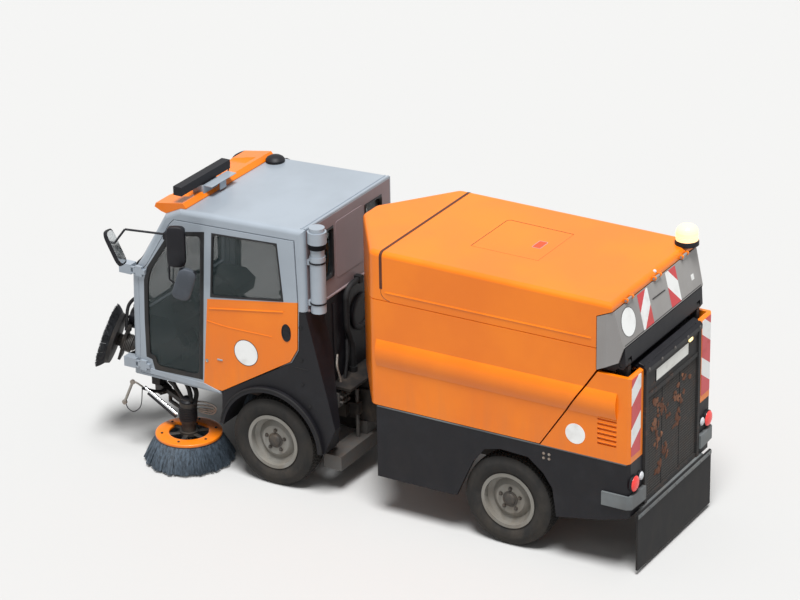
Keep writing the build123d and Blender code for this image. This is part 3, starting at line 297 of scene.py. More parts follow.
# Shader maths: a number from a node's socket that can be added, scaled and compared.
class Num:
    def __init__(self, recipe, socket):
        self.recipe, self.socket = recipe, socket

    def sum(self, operation, first, second=0.0, clamp=False):
        node = self.recipe.add("Math", {"operation": operation, "use_clamp": clamp}, {0: first, 1: second})
        return Num(self.recipe, node.outputs[0])

    def __add__(self, other):
        return self.sum("ADD", self, other)

    def __radd__(self, other):
        return self.sum("ADD", other, self)

    def __sub__(self, other):
        return self.sum("SUBTRACT", self, other)

    def __rsub__(self, other):
        return self.sum("SUBTRACT", other, self)

    def __mul__(self, other):
        return self.sum("MULTIPLY", self, other)

    def __rmul__(self, other):
        return self.sum("MULTIPLY", other, self)

    def __gt__(self, other):
        return self.sum("GREATER_THAN", self, other)

    def clamped(self):
        return self.sum("ADD", self, 0.0, True)

    def repeat(self, period):
        return self.sum("FLOORED_MODULO", self, period)

    def size(self):
        return self.sum("ABSOLUTE", self)

    def wave(self):
        return self.sum("SINE", self)

    def ramp(self, low, high):
        # 0 at low, 1 at high, smooth in between
        node = self.recipe.add("MapRange", {"interpolation_type": "SMOOTHSTEP"},
                               {"Value": self, "From Min": low, "From Max": high})
        return Num(self.recipe, node.outputs[0])


def rgba(colour):
    # a plain colour gets its alpha, a socket stays one
    return (*colour, 1) if isinstance(colour, tuple) else colour


class Recipe:
    # the nodes of a material or of the world: add() takes a node's type, its settings and its sockets
    def __init__(self, owner):
        owner.use_nodes = True
        self.owner, self.tree = owner, owner.node_tree
        self.tree.nodes.clear()

    def add(self, kind, settings=None, links=None):
        node = self.tree.nodes.new("ShaderNode" + kind)
        for key, value in (settings or {}).items():
            setattr(node, key, value)
        return self.link(node, links or {})

    def link(self, node, links):
        # a socket is linked, any other value is set
        for key, value in links.items():
            value = getattr(value, "socket", value)
            if isinstance(value, bpy.types.NodeSocket):
                self.tree.links.new(value, node.inputs[key])
            else:
                node.inputs[key].default_value = value
        return node


class Finish(Recipe):
    # a material and its object coordinates
    def __init__(self, name):
        super().__init__(bpy.data.materials.new(name))
        self.place = self.add("TexCoord").outputs["Object"]
        split = self.add("SeparateXYZ", {}, {0: self.place})
        self.x, self.y, self.z = (Num(self, split.outputs[k]) for k in range(3))

    def pattern(self, kind, stretch, links):
        # a texture on object coordinates that are scaled first
        spread = self.add("Mapping", {}, {"Vector": self.place, "Scale": stretch}).outputs[0]
        return Num(self, self.add(kind, {}, {"Vector": spread, **links}).outputs[0])

    def noise(self, scale, detail=3.0, rough=0.55, stretch=(1, 1, 1)):
        return self.pattern("TexNoise", stretch, {"Scale": scale, "Detail": detail, "Roughness": rough})

    def mix(self, share, first, second):
        return self.add("Mix", {"data_type": "RGBA"}, {0: share, 6: rgba(first), 7: rgba(second)}).outputs[2]

    def finish(self, colour, rough, height=None, depth=0.001, **rest):
        # the surface itself: colour, roughness, a bump of some depth and what else is named
        links = {key.replace("_", " "): value for key, value in rest.items()}
        if height is not None:
            bump = self.add("Bump", {}, {"Height": height, "Distance": depth, "Strength": 1.0})
            links["Normal"] = bump.outputs[0]
        skin = self.add("BsdfPrincipled", {}, {"Base Color": rgba(colour), "Roughness": rough, **links})
        self.add("OutputMaterial", {}, {"Surface": skin.outputs[0]})
        return self.owner


# Paint: a colour with soft cloudy patches, road dust low down and in runs, and fine orange peel.
# Columns: colour, shade of the patches, dust, roughness, metal, coat, heights where dust is full and gone.
paintLooks = dict(
    orangePaint=((0.83, 0.20, 0.002), (0.77, 0.172, 0.002), 0.12, 0.36, 0.0, 0.2, 0.8, 1.3),
    silverPaint=((0.34, 0.385, 0.435), (0.30, 0.34, 0.385), 0.15, 0.36, 0.15, 0.2, 0.62, 1.2),
    # the cab's rear wall: its silver paint drawn darker and mauve, a painted shade and a painted reflection
    # of brown surroundings
    wallPaint=((0.27, 0.21, 0.22), (0.22, 0.17, 0.18), 0.15, 0.45, 0.0, 0.0, 1.3, 1.7),
    greyPaint=((0.33, 0.32, 0.31), (0.26, 0.25, 0.245), 0.15, 0.42, 0.2, 0.0, 1.5, 2.2),
    rimPaint=((0.26, 0.255, 0.235), (0.15, 0.14, 0.12), 0.5, 0.5, 0.3, 0.0, 0.0, 0.9),
    markOrange=((0.62, 0.075, 0.01), (0.55, 0.06, 0.01), 0.2, 0.4, 0.0, 0.1, 0.8, 1.4),
    bumperPaint=((0.17, 0.19, 0.195), (0.08, 0.085, 0.09), 0.3, 0.5, 0.0, 0.0, 0.3, 0.8),
)
dustTone = (0.18, 0.14, 0.1)


def paint(name, colour, shade, dust, rough, metallic, coat, low, high):
    # colour = mix(shade, colour by cloud), then dust where height is low times streaky noise
    mat = Finish(name)
    cloud = mat.noise(1.6, 4.0).ramp(0.35, 0.68)
    streak = mat.noise(3.0, 5.0, 0.6, (4, 4, 0.7)).ramp(0.3, 0.75)
    speck = mat.noise(55.0, 3.0, 0.7).ramp(0.66, 0.8)
    soil = (((1 - mat.z.ramp(low, high)) * streak + speck * 0.25) * dust).clamped()
    peel = mat.noise(240.0, 1.0)
    return mat.finish(mat.mix(soil, mat.mix(cloud, shade, colour), dustTone),
                      (rough + soil * 0.4 + cloud * 0.05).clamped(), peel * 0.35 + soil * 0.5, 0.0002,
                      Metallic=(1 - soil) * metallic, Coat_Weight=coat, Specular_IOR_Level=0.35)


# Moulded plastic and rubber: near black, with a grain in the bump, grey scuffs and dust.
# Columns: colour, scuff, dust, roughness, grain, heights where dust is full and gone.
plasticLooks = dict(
    blackPlastic=((0.005, 0.005, 0.0075), (0.011, 0.0115, 0.015), 0.02, 0.5, 420.0, 0.2, 1.6),
    blackRubber=((0.010, 0.010, 0.011), (0.02, 0.02, 0.021), 0.05, 0.7, 260.0, 0.0, 0.9),
    tyreRubber=((0.015, 0.0147, 0.0145), (0.032, 0.030, 0.028), 0.12, 0.8, 180.0, 0.0, 1.1),
    sealRubber=((0.012, 0.012, 0.013), (0.03, 0.03, 0.032), 0.12, 0.45, 500.0, 0.6, 1.4),
    seamBrown=((0.075, 0.02, 0.009), (0.11, 0.032, 0.014), 0.1, 0.5, 300.0, 0.6, 1.4),
    leafBrown=((0.10, 0.035, 0.016), (0.34, 0.16, 0.09), 0.1, 0.7, 200.0, 0.0, 0.4),
    chassisPaint=((0.013, 0.013, 0.014), (0.045, 0.036, 0.03), 0.25, 0.55, 150.0, 0.1, 1.3),
    dashPlastic=((0.022, 0.032, 0.036), (0.035, 0.048, 0.053), 0.05, 0.6, 600.0, 0.6, 1.6),
    mirrorBack=((0.06, 0.07, 0.085), (0.09, 0.1, 0.12), 0.1, 0.5, 300.0, 0.6, 1.6),
)


def plastic(name, colour, scuff, dust, rough, grain, low, high):
    # colour = mix(colour, scuff by fine noise), then dust toward the ground
    mat = Finish(name)
    worn = mat.noise(7.0, 6.0, 0.65).ramp(0.45, 0.8)
    soil = ((1 - mat.z.ramp(low, high)) * mat.noise(5.0, 4.0, 0.6, (2, 2, 1)).ramp(0.3, 0.7) * dust).clamped()
    return mat.finish(mat.mix(soil, mat.mix(worn, colour, scuff), dustTone),
                      (rough + worn * 0.1 + soil * 0.3).clamped(), mat.noise(grain, 2.0), 0.00012,
                      Specular_IOR_Level=0.3)


# Bare metals: columns are colour, rust, amount of rust, roughness, metal.
metalLooks = dict(
    bareSteel=((0.33, 0.31, 0.28), (0.16, 0.085, 0.045), 0.75, 0.45, 0.8),
    castMetal=((0.11, 0.105, 0.1), (0.13, 0.08, 0.05), 0.4, 0.65, 0.5),
    rodChrome=((0.72, 0.73, 0.75), (0.35, 0.34, 0.33), 0.1, 0.12, 1.0),
    hubGrease=((0.05, 0.045, 0.04), (0.12, 0.09, 0.065), 0.7, 0.6, 0.3),
    mirrorGlass=((0.72, 0.75, 0.76), (0.6, 0.63, 0.64), 0.2, 0.04, 1.0),
)


def metal(name, colour, rust, amount, rough, metallic):
    # a cast or brushed tone with rust, rougher and less metallic, where a coarse noise is high
    mat = Finish(name)
    stain = (mat.noise(11.0, 6.0, 0.7).ramp(0.42, 0.72) * amount).clamped()
    grain = mat.noise(90.0, 3.0, 0.6)
    return mat.finish(mat.mix(stain, colour, rust), (rough + stain * 0.35).clamped(),
                      grain * 0.6 + stain, 0.0005, Metallic=(1 - stain * 0.8) * metallic)


# Glass and lenses: columns are colour, alpha, roughness, ribs, light.
glassLooks = dict(
    windowGlass=((0.018, 0.032, 0.034), 0.42, 0.02, 0.0, 0.0),
    clearLens=((0.75, 0.77, 0.8), 0.75, 0.06, 420.0, 0.0),
    redLens=((0.62, 0.03, 0.025), 1.0, 0.12, 380.0, 0.35),
    amberLens=((1.0, 0.60, 0.30), 1.0, 0.12, 300.0, 1.25),
    lampGlow=((0.98, 0.72, 0.3), 1.0, 0.2, 0.0, 1.6),
)


def lens(name, colour, alpha, rough, ribs, light):
    # a sheet under a thin film of dirt, ribbed by two crossed waves where it is a lens
    mat = Finish(name)
    film = mat.noise(3.0, 4.0, 0.6, (1, 1, 2)).ramp(0.4, 0.75)
    height = ((mat.z * ribs).wave() + (mat.x * ribs).wave()) if ribs else mat.noise(4.0, 1.0)
    glow = dict(Emission_Color=rgba(colour), Emission_Strength=light) if light else {}
    return mat.finish(mat.mix(film * 0.25, colour, tuple(c * 0.7 + 0.1 for c in colour)),
                      (rough + film * 0.08).clamped(), height, 0.0003 if ribs else 0.00005,
                      Alpha=(alpha + film * 0.06).clamped() if alpha < 1 else 1.0, **glow)


def stripes(name, period, lean, start, share):
    # red and white bands: white where (height + lean * distance from the middle - start) modulo period
    # is under its share of the period
    mat = Finish(name)
    red = (mat.z + mat.x.size() * lean - start).repeat(period) > period * share
    comb = mat.pattern("TexVoronoi", (1, 0.2, 1), {"Scale": 240.0})
    dirt = mat.noise(9.0, 4.0).ramp(0.5, 0.8) * 0.25
    tone = mat.mix(red, (0.78, 0.79, 0.78), (0.56, 0.022, 0.03))
    return mat.finish(mat.mix(dirt, tone, dustTone), (0.28 + dirt).clamped(), comb, 0.0002)


def label(name, tone):
    # a blank sheet with faint dirt
    mat = Finish(name)
    dirt = mat.noise(8.0, 5.0).ramp(0.45, 0.85) * 0.3
    return mat.finish(mat.mix(dirt, tone, dustTone), (0.35 + dirt).clamped(), mat.noise(120.0), 0.0001)


def cloth(name, colour):
    # a plain weave: two crossed waves, with painted highlight on the raised threads and painted shade between
    # them
    mat = Finish(name)
    weft = (mat.x * 900.0).wave() * ((mat.y + mat.z) * 900.0).wave()
    fade = mat.noise(6.0, 4.0).ramp(0.35, 0.75)
    # raised threads 1.8 times lighter and hollows 0.6 times darker: painted highlight and painted shade
    tone = mat.mix(weft.ramp(-0.6, 0.9), tuple(c * 0.6 for c in colour), tuple(c * 1.8 for c in colour))
    return mat.finish(mat.mix(fade * 0.4, tone, (0.09, 0.085, 0.08)), 0.85, weft, 0.0006, Sheen_Weight=0.3)


def screen(name, tone, holeShade, leaf):
    # a punched sheet: round holes in rows filled with near-black painted shade, with brown dirt caught in
    # clouds
    mat = Finish(name)
    holes = ((mat.x * 420.0).wave() * (mat.z * 420.0).wave()).ramp(0.0, 0.35)
    litter = (mat.noise(9.0, 5.0, 0.7).ramp(0.5, 0.62) * mat.noise(45.0, 4.0, 0.7).ramp(0.45, 0.6)).clamped()
    return mat.finish(mat.mix(litter * 0.35, mat.mix(holes, tone, holeShade), leaf), 0.75, litter - holes, 0.0015)


def bristle(name, root, tip):
    # two tones mixed by a noise that is drawn out along the strands
    mat = Finish(name)
    strand = mat.noise(60.0, 3.0, 0.7, (1, 1, 0.15))
    return mat.finish(mat.mix(strand.ramp(0.3, 0.7), root, tip), 0.6, strand, 0.001)


allLooks = (
    (paint, paintLooks), (plastic, plasticLooks), (metal, metalLooks), (lens, glassLooks),
    (stripes, dict(tailStripes=(0.305, 0.69, 1.40, 0.43), tailBands=(0.29, 1.0, 1.975, 0.5))),
    (label, dict(blankLabel=[(0.8, 0.81, 0.8)], plateLabel=[(0.74, 0.74, 0.7)])),
    (cloth, dict(seatCloth=[(0.035, 0.037, 0.042)])),
    (screen, dict(screenMesh=((0.02, 0.019, 0.019), (0.004, 0.004, 0.004), (0.13, 0.055, 0.03)))),
    (bristle, dict(bristleGrey=((0.02, 0.027, 0.035), (0.085, 0.115, 0.15)),
                   bristleBlack=((0.008, 0.009, 0.011), (0.035, 0.037, 0.042)))),
)
materials = {name: maker(name, *look) for maker, looks in allLooks for name, look in looks.items()}
print("materials:", len(materials))

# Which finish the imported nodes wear, by the first letters of their names; the longest match counts.
nodeLooks = dict(
    tyreRubber="tyre", rimPaint="rim", rodChrome="tip_rods", amberLens="beacon", redLens="tail_lamps",
    chassisPaint="rear_axle front_axle rear_frame front_frame tow tip_barrels front_boom brush",
    orangePaint="hopper_body hopper_cover rear_side_panels roof_fairing door_panel", greyPaint="hopper_door",
    blackPlastic="hopper_hinge_beam rear_skirts rear_hood cab_floor front_fenders light_bar mirrors",
    castMetal="engine_block suction_nozzle", screenMesh="rear_grille", bumperPaint="rear_bumper",
    blackRubber="rear_flap cab_hose", silverPaint="cab intake_stack door_frame",
    windowGlass="cab_glass door_glass", clearLens="headlamps", seatCloth="seats", dashPlastic="dashboard",
    bristleGrey="front_brush side_brush",
)
finishOf = {start: finish for finish, starts in nodeLooks.items() for start in starts.split()}
for node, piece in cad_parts.items():
    start = max(filter(node.startswith, finishOf), key=len)
    piece.data.materials.clear()
    piece.data.materials.append(materials[finishOf[start]])
print("frame nodes dressed:", len(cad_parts))

# The slot that each finish belongs to, as a table; the pieces below are not given it.
slotLooks = dict(
    orange_paint="orangePaint markOrange", silver_paint="silverPaint wallPaint", black_steel="chassisPaint",
    black_plastic="blackPlastic dashPlastic mirrorBack", black_rubber="blackRubber sealRubber seamBrown",
    cast_metal="castMetal hubGrease", bare_steel="bareSteel", rod_chrome="rodChrome mirrorGlass",
    clear_lens="clearLens", red_lens="redLens", amber_lens="amberLens lampGlow", tyre="tyreRubber",
    seat_cloth="seatCloth", bristle_plastic="bristleGrey bristleBlack leafBrown",
)
slotOf = {finish: slot for slot, finishes in slotLooks.items() for finish in finishes.split()}


def addObject(name, part):
    # a part as a mesh in the scene
    mesh = bpy.data.meshes.new(name)
    mesh.from_pydata(np.asarray(part[0], float).tolist(), [], part[1])
    piece = bpy.data.objects.new(name, mesh)
    scene.collection.objects.link(piece)
    return piece


def addPiece(name, part, finish, body, replaced=(), slot=None, sharp=35):
    # merges doubles, turns faces outward, rides the piece on its body and hides what it replaces
    piece = addObject(name, part)
    mesh = piece.data
    work = bmesh.new()
    work.from_mesh(mesh)
    bmesh.ops.remove_doubles(work, verts=work.verts, dist=1e-5)
    bmesh.ops.dissolve_degenerate(work, edges=work.edges, dist=1e-6)
    bmesh.ops.recalc_face_normals(work, faces=work.faces)
    work.to_mesh(mesh)
    work.free()
    mesh.polygons.foreach_set("use_smooth", np.ones(len(mesh.polygons), bool))
    mesh.set_sharp_from_angle(angle=math.radians(sharp))
    mesh.materials.append(materials[finish])
    if body:
        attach(piece, body)
    if replaced:
        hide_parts(*replaced)
    slot or finish in slotOf
    return piece


# Tyres: a rounded section with a tread of ribs, slots and shoulder blocks.
tyreLook = dict(
    around=288, blocks=72, grooves=(-0.047, -0.016, 0.016, 0.047), grooveWidth=0.0075, grooveDepth=0.008,
    slotDepth=0.006, shoulderSlot=0.26, middleSlot=0.24, lean=14, bead=0.211, toe=0.019, seat=0.02,
    shoulder=0.022, camber=0.007, bulge=0.95, ribs=(0.3, 0.62), ribHalf=0.05, ribHigh=0.0012)


def treadedTyre(node):
    # wall: straight from bead to shoulder plus a half sine and two thin ribs
    # tread: radius = R - camber*|x/edge|^3 - cut(x, angle), the cut being a groove, a slot or nothing
    look = tyreLook
    low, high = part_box(node)
    half, radius = (high.x - low.x) / 2, (high.z - low.z) / 2
    edge, seat, bead = half - look["shoulder"], half - look["seat"], look["bead"]
    t = np.linspace(0, 1, 15)
    ribs = look["ribHigh"] * (np.abs(t[:, None] - look["ribs"]) < look["ribHalf"]).sum(1)
    wallX = seat * (1 - t) + edge * t + (half - edge) * look["bulge"] * np.sin(np.pi * t) + ribs
    wallR = bead + (radius - look["camber"] - bead) * t
    grooves, grooveHalf = np.array(look["grooves"]), look["grooveWidth"] / 2
    cuts = [g + s * (grooveHalf + e) for g in grooves for s in (-1, 1) for e in (0, 0.001)]
    treadX = np.sort(np.concatenate([cuts, np.linspace(-edge, edge, 15)]))
    turn, x = circle(look["around"]), np.abs(treadX)[:, None]
    ringCut = np.abs(treadX[:, None] - grooves).min(1, keepdims=True) < grooveHalf + 1e-6
    phase = (turn * look["blocks"] / (2 * np.pi) + x * look["lean"]) % 1
    shoulder = (x > grooves[3]) & (phase < look["shoulderSlot"])
    middle = (x < grooves[3]) & ((phase + 0.5 * (x < grooves[2])) % 1 < look["middleSlot"])
    cut = np.where(ringCut, look["grooveDepth"], np.where(shoulder | middle, look["slotDepth"], 0.0))
    across = np.concatenate([-wallX, treadX, wallX[::-1], [seat, -seat]])
    tread = radius - look["camber"] * np.abs(treadX / edge) ** 3
    rise = np.concatenate([wallR, tread, wallR[::-1], [bead - look["toe"]] * 2])[:, None].repeat(len(turn), 1)
    rise[len(t):len(t) + len(treadX)] -= cut * (x < edge - 0.004)
    points = onAxis(across[:, None].repeat(len(turn), 1), rise * np.cos(turn), rise * np.sin(turn), "X")
    return frameOf(points + np.array((low + high) / 2))


hubLook = dict(
    face=0.0465, nutRing=0.078, nuts=5, firstNut=0.3, nut=0.011, nutHigh=0.017, flange=0.058,
    flangeHigh=0.006, foot=0.008, cap=0.046, capHigh=0.018)


def hubSet(centre, sign):
    # a domed cap over the stub and nuts at even angles round it
    look = hubLook
    x = centre.x + sign * look["face"]
    nutRing = ellipse(centre.yz, look["nutRing"], look["nutRing"], look["nuts"], look["firstNut"])
    cap = dome(sign * look["foot"], sign * look["capHigh"], look["cap"], 7)
    profile = np.vstack([[0, look["flange"]], [sign * look["flangeHigh"], look["flange"]], cap])
    return joined([boltHeads(placed(nutRing, x, "X"), look["nut"], look["nutHigh"], "X", sign),
                   lathe(profile, 32, "X", (x, *centre.yz))])


for end in ("front", "rear"):
    for side, sign in sides.items():
        node, body = f"tyre_{end}_{side}", f"wheel_{end}_{side}"
        low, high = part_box(node)
        addPiece(f"treadTyre_{end}_{side}", treadedTyre(node), "tyreRubber", body, [node], sharp=28)
        addPiece(f"hubNuts_{end}_{side}", hubSet((low + high) / 2, sign), "hubGrease", body)
print("tyres and hubs")

# Side brushes: an orange ring, a black hub with spokes, and a skirt of loose bristles.
brushLook = dict(
    x=0.545, y=-1.405, ringIn=0.146, ringOut=0.248, ringLow=0.199, ringHigh=0.227, squared=0.45,
    hub=((0.205, 0), (0.205, 0.07), (0.232, 0.07), (0.232, 0.05), (0.3, 0.05), (0.3, 0)),
    bar=((-0.155, -0.018, 0.209), (0.155, 0.018, 0.221)), barTurns=(15, 75, 135), boltRing=0.2,
    liner=((0.199, 0.17), (0.12, 0.2), (0.04, 0.262), (0.04, 0.258), (0.12, 0.196), (0.199, 0.166)),
    skirt=((0.182, 0.208, 0.236), 0.205, (0.288, 0.318, 0.342), 0.014, 1600, 0.0022, 0.004))


def polar(radius, angle, height):
    # points from radius, angle and height about Z
    return np.stack(np.broadcast_arrays(radius * np.cos(angle), radius * np.sin(angle), height), -1)


def strands(rootRadius, rootHeight, tipRadius, tipHeight, count, thick, bulge):
    # many three-sided strands: centre line = root + t*(tip - root) + bulge*sin(pi t) outward,
    # fluted by a wave round the ring, tapering to the tip
    turn = rng.uniform(0, 2 * np.pi, count)
    flute = 0.5 + 0.5 * np.sin(turn * 17 + rng.normal(0, 0.35, count))
    lean = turn + rng.normal(0, 0.012, count)
    reach = tipRadius * (0.93 + 0.05 * flute + rng.normal(0, 0.012, count))
    root = polar(rootRadius, turn, rootHeight)[:, None]
    tip = polar(reach, lean, tipHeight + rng.uniform(0, 0.012, count))[:, None]
    rows, cols = 5, 3
    t, corner = np.linspace(0, 1, rows)[None, :, None], circle(cols)[:, None]
    outward, across = polar(1, turn, 0)[:, None], polar(1, turn + np.pi / 2, 0)[:, None]
    line = root * (1 - t) + tip * t + outward * np.sin(np.pi * t) * bulge
    wheel = np.cos(corner) * across[:, None] + np.sin(corner) * outward[:, None]
    points = line[:, :, None] + wheel * thick * (1.15 - 0.6 * t[..., None])
    starts = np.arange(count)[:, None] * rows * cols
    sheets = (np.array(gridQuads(rows, cols, wrapCols=True)) + starts[..., None]).reshape(-1, 4).tolist()
    first, last = np.arange(cols)[::-1], np.arange(cols) + (rows - 1) * cols
    ends = [(starts + corners).tolist() for corners in (last, first)]
    return points.reshape(-1, 3), sheets + ends[0] + ends[1]


def brushSkirt(rootRadii, rootHeight, tipRadii, *rest):
    # one layer of strands for each pair of root and tip radius
    return joined([strands(root, rootHeight, tip, *rest) for root, tip in zip(rootRadii, tipRadii)])


def brushRing(look):
    # a squared-up ellipse as the section of the ring
    t = circle(20)
    (low, high), (inner, outer) = (look["ringLow"], look["ringHigh"]), (look["ringIn"], look["ringOut"])
    heights = (high + low) / 2 + (high - low) / 2 * eased(np.sin(t), look["squared"])
    radii = (inner + outer) / 2 + (outer - inner) / 2 * eased(np.cos(t), look["squared"])
    return lathe(np.stack([heights, radii], -1), 72, closed=True)


def brushHub(look):
    # a motor flange and three bars across the ring, bolted down
    bars = [moved(slab(*look["bar"]), turned(angle, "Z")) for angle in look["barTurns"]]
    bolts = placed(ellipse((0, 0), look["boltRing"], look["boltRing"], 6, 0.2), look["ringHigh"], "Z")
    return joined([lathe(look["hub"], 32), *bars, boltHeads(bolts, 0.008, 0.007, "Z")])


for side, sign in sides.items():
    look, body = brushLook, f"brush_{side}"
    spot = Matrix.Translation((sign * look["x"], look["y"], 0))
    skirt = joined([brushSkirt(*look["skirt"]), lathe(look["liner"], 64, closed=True)])
    addPiece(f"brushRing_{side}", moved(brushRing(look), spot), "orangePaint", body, [f"side_brush_{side}"])
    addPiece(f"brushHub_{side}", moved(brushHub(look), spot), "chassisPaint", body)
    addPiece(f"brushBristles_{side}", moved(skirt, spot), "bristleGrey", body, sharp=60)
print("side brushes")

# Front brush: the same kind of reel, smaller, folded up on its boom.
reelLook = dict(
    head=(0.395, -2.004, 0.74), turn=20, tilt=72,
    disc=((0.062, 0.046), (0.094, 0.046), (0.099, 0.19), (0.128, 0.2), (0.128, 0.172), (0.108, 0.05),
        (0.108, 0.046)),
    skirt=((0.17, 0.188), 0.12, (0.225, 0.247), 0.176, 1500, 0.0021, 0.006))
look = reelLook
reelPlace = Matrix.Translation(look["head"]) @ turned(look["turn"], "Z") @ turned(look["tilt"], "X")
reelDisc, reelSkirt = lathe(look["disc"], 56, closed=True), brushSkirt(*look["skirt"])
addPiece("reelDisc", moved(reelDisc, reelPlace), "chassisPaint", "front_rotor", ["front_brush"])
addPiece("reelBristles", moved(reelSkirt, reelPlace), "bristleBlack", "front_rotor", sharp=60)
print("front brush")

# Hopper: the groove's seal, the bead along the sides, the hatch seam with painted shadow on two of its sides,
# and its mark on the cover.
# sealSection: how deep the seal's skin lies in the cover and how far along, in half widths of the groove.
hopperLook = dict(
    half=0.639, groove=0.323, grooveHalf=0.0098, coverTop=2.034, fall=0.012406, front=-0.152, edge=0.038,
    sealFoot=1.756, beadY=(0.36, 1.2, 1.95), beadZ=1.733, beadRadius=0.0095, shutZ=1.673,
    sealSection=((0.0088, 0.99), (0.0, 0.99), (-0.0006, 1.16), (-0.0014, 1.1), (-0.0016, 0)),
    hatch=((-0.306, 0.809), (0.23, 0.807), (0.23, 1.331), (-0.296, 1.331)), hatchGap=0.02,
    mark=(-0.077, 0.039, 1.183, 1.243), pale=(-0.02, 2.089, 1.996))


def coverHeight(y):
    # top of the cover: z = coverTop - fall*(y - front)
    return hopperLook["coverTop"] - hopperLook["fall"] * (y - hopperLook["front"])


def lifted(part, rise=0.0):
    # flat plan parts laid on the sloping cover: z -> z + cover height at y
    return part[0] + coverHeight(part[0][:, 1:2]) * [0, 0, 1] + [0, 0, rise], part[1]


def grooveSeal(look):
    # the cover's arch section set in by d: straight side, quarter circle of radius edge - d, flat top
    turn, top = np.linspace(0, np.pi / 2, 9), coverHeight(look["groove"])
    section = [(depth, -along) for depth, along in look["sealSection"]] + list(look["sealSection"][-2::-1])
    rings = []
    for depth, along in section:
        bend = look["edge"] - depth
        x = np.r_[look["half"] - depth, look["half"] - look["edge"] + bend * np.cos(turn)]
        z = np.r_[look["sealFoot"], top - look["edge"] + bend * np.sin(turn)]
        arch = np.stack([np.r_[x, -x[::-1]], np.r_[z, z[::-1]]], -1)
        rings.append(placed(arch, look["groove"] + along * look["grooveHalf"], "Y"))
    return capped(np.stack(rings, 1))


def coverSeam(corners, radius, sink):
    # a line on the cover; each corner is there twice, a hair apart, so that it stays sharp
    path = np.repeat([(x, y, 0.0) for x, y in corners], 2, 0)
    path[1::2] += (1e-4, 1e-4, 0)
    return lifted(tube(path, radius, 6), -sink)


look = hopperLook
nearLeft, nearRight, farRight, farLeft = look["hatch"]
bead = tube([(look["half"] - 0.005, y, look["beadZ"]) for y in look["beadY"]], look["beadRadius"], 8)
shutLine = curved([(look["half"] + 0.0002, look["groove"] + y, z) for y, z in (
    (0, look["sealFoot"]), (0.002, 1.72), (0.025, 1.69), (0.07, look["shutZ"]))], 24, 0.0016, 6)
gap = look["hatchGap"]
# the hatch seam's sides toward the machine's front and right are dark painted shadow lines; the other two
# sides, drawn fainter in darker orange, stand for sides that catch the light
hatchShadowSides = [farLeft, (nearLeft[0], nearLeft[1] + gap), (nearLeft[0] + gap, nearLeft[1]), nearRight]
markLoop = roundedBox(*look["mark"], 0.006, 5)
markRim = ring(insetLoop(markLoop, -0.004), 0.0035, -0.001, 0.0012, "Z")
for name, part, finish in (
        ("grooveSeal", grooveSeal(look), "seamBrown"),
        ("hopperBeads", bothSides(bead), "orangePaint"),
        ("hatchFaint", coverSeam([nearRight, farRight, farLeft], 0.002, 0.001), "markOrange"),
        ("hopperSeams", joined([bothSides(shutLine), coverSeam(hatchShadowSides, 0.0032, 0.0015)]), "seamBrown"),
        ("hatchMark", lifted(prism(markLoop, -0.001, 0.0009, "Z")), "markOrange"),
        ("hatchMarkRim", lifted(markRim), "silverPaint")):
    addPiece(name, part, finish, "hopper")
print("hopper lines")

# Tailgate: the slanted outer plane carries blank discs, striped bands, a latch line and a small label.
tailLook = dict(
    y=2.176, z=1.69, lean=-0.2443, bandHeights=(1.697, 1.946), bands=((0.145, 0.295), (-0.28, -0.13)),
    disc=(0.473, 1.828), discRadius=0.1, squash=0.971, rim=(0.1008, 0.0975), rimHigh=0.0016,
    label=(-0.509, -0.469, 1.769, 1.809), plate=0.0012, seam=((-0.585, 1.7), (0.585, 1.7)),
    latch=((0.105, 1.848), (0.04, 1.8465), (-0.03, 1.8455), (-0.084, 1.844)))


def onTail(flat):
    # (x, z) -> point of the tailgate's plane, y = y0 + lean*(z - z0)
    x, z = np.asarray(flat, float).T
    return np.stack([x, tailLook["y"] + tailLook["lean"] * (z - tailLook["z"]), z], -1)


def tailCircle(radius):
    # a disc's outline, a little flatter than round
    return onTail(ellipse(look["disc"], radius, radius * look["squash"], 56))


look = tailLook
tailOut = unit((0, 1, -look["lean"]))
bands = [onTail(roundedBox(*band, *look["bandHeights"])) for band in look["bands"]]
bands = [patch(band, tailOut, look["plate"]) for band in bands]
labels = [patch(tailCircle(look["discRadius"]), tailOut, look["plate"]),
          patch(onTail(roundedBox(*look["label"])), tailOut, 0.001)]
rimOuter, rimInner = map(tailCircle, look["rim"])
rimTop = tailOut * look["rimHigh"]
discRim = frameOf([rimOuter, rimOuter + rimTop, rimInner + rimTop, rimInner])
latch = [tube(onTail(look["latch"]), 0.0045, 8), tube(onTail(look["seam"]), 0.0025, 6)]
addPiece("tailBands", joined(bands), "tailBands", "tailgate")
addPiece("tailLabels", joined(labels), "blankLabel", "tailgate")
addPiece("tailDiscRim", discRim, "sealRubber", "tailgate")
addPiece("tailLatch", joined(latch), "sealRubber", "tailgate")
addPiece("tailPale", ball(hopperLook["pale"], 0.014), "clearLens", "hopper")
print("tailgate")

# Tail of the chassis: striped strips, a blank plate and its lamp, domed lamps, mesh with leaves.
# The lamps' columns: x, z, radius, depth.
rearLook = dict(
    y=2.242, strip=(0.475, 0.61, 0.905, 1.478), plate=(-0.25, 0.25, 1.322, 1.43), plateY=(2.2435, 2.2462),
    holderY=(2.2425, 2.2475), plateLamp=((-0.288, 2.238, 1.417), (-0.236, 2.264, 1.4455), 0.005),
    red=(0.575, 0.697, 0.06, 0.035), white=(0.478, 0.712, 0.035, 0.028), lip=0.004, meshHalf=0.385,
    meshZ=(0.503, 1.246), meshSink=0.0028, pitch=0.021, wire=0.0013)
look, y = rearLook, rearLook["y"]
strip = prism(roundedBox(*look["strip"], 0.008), y - 0.0005, y + 0.0022, "Y")
plateLoop = roundedBox(*look["plate"], 0.009)
holder = ring(insetLoop(plateLoop, -0.007), 0.008, *look["holderY"], "Y")
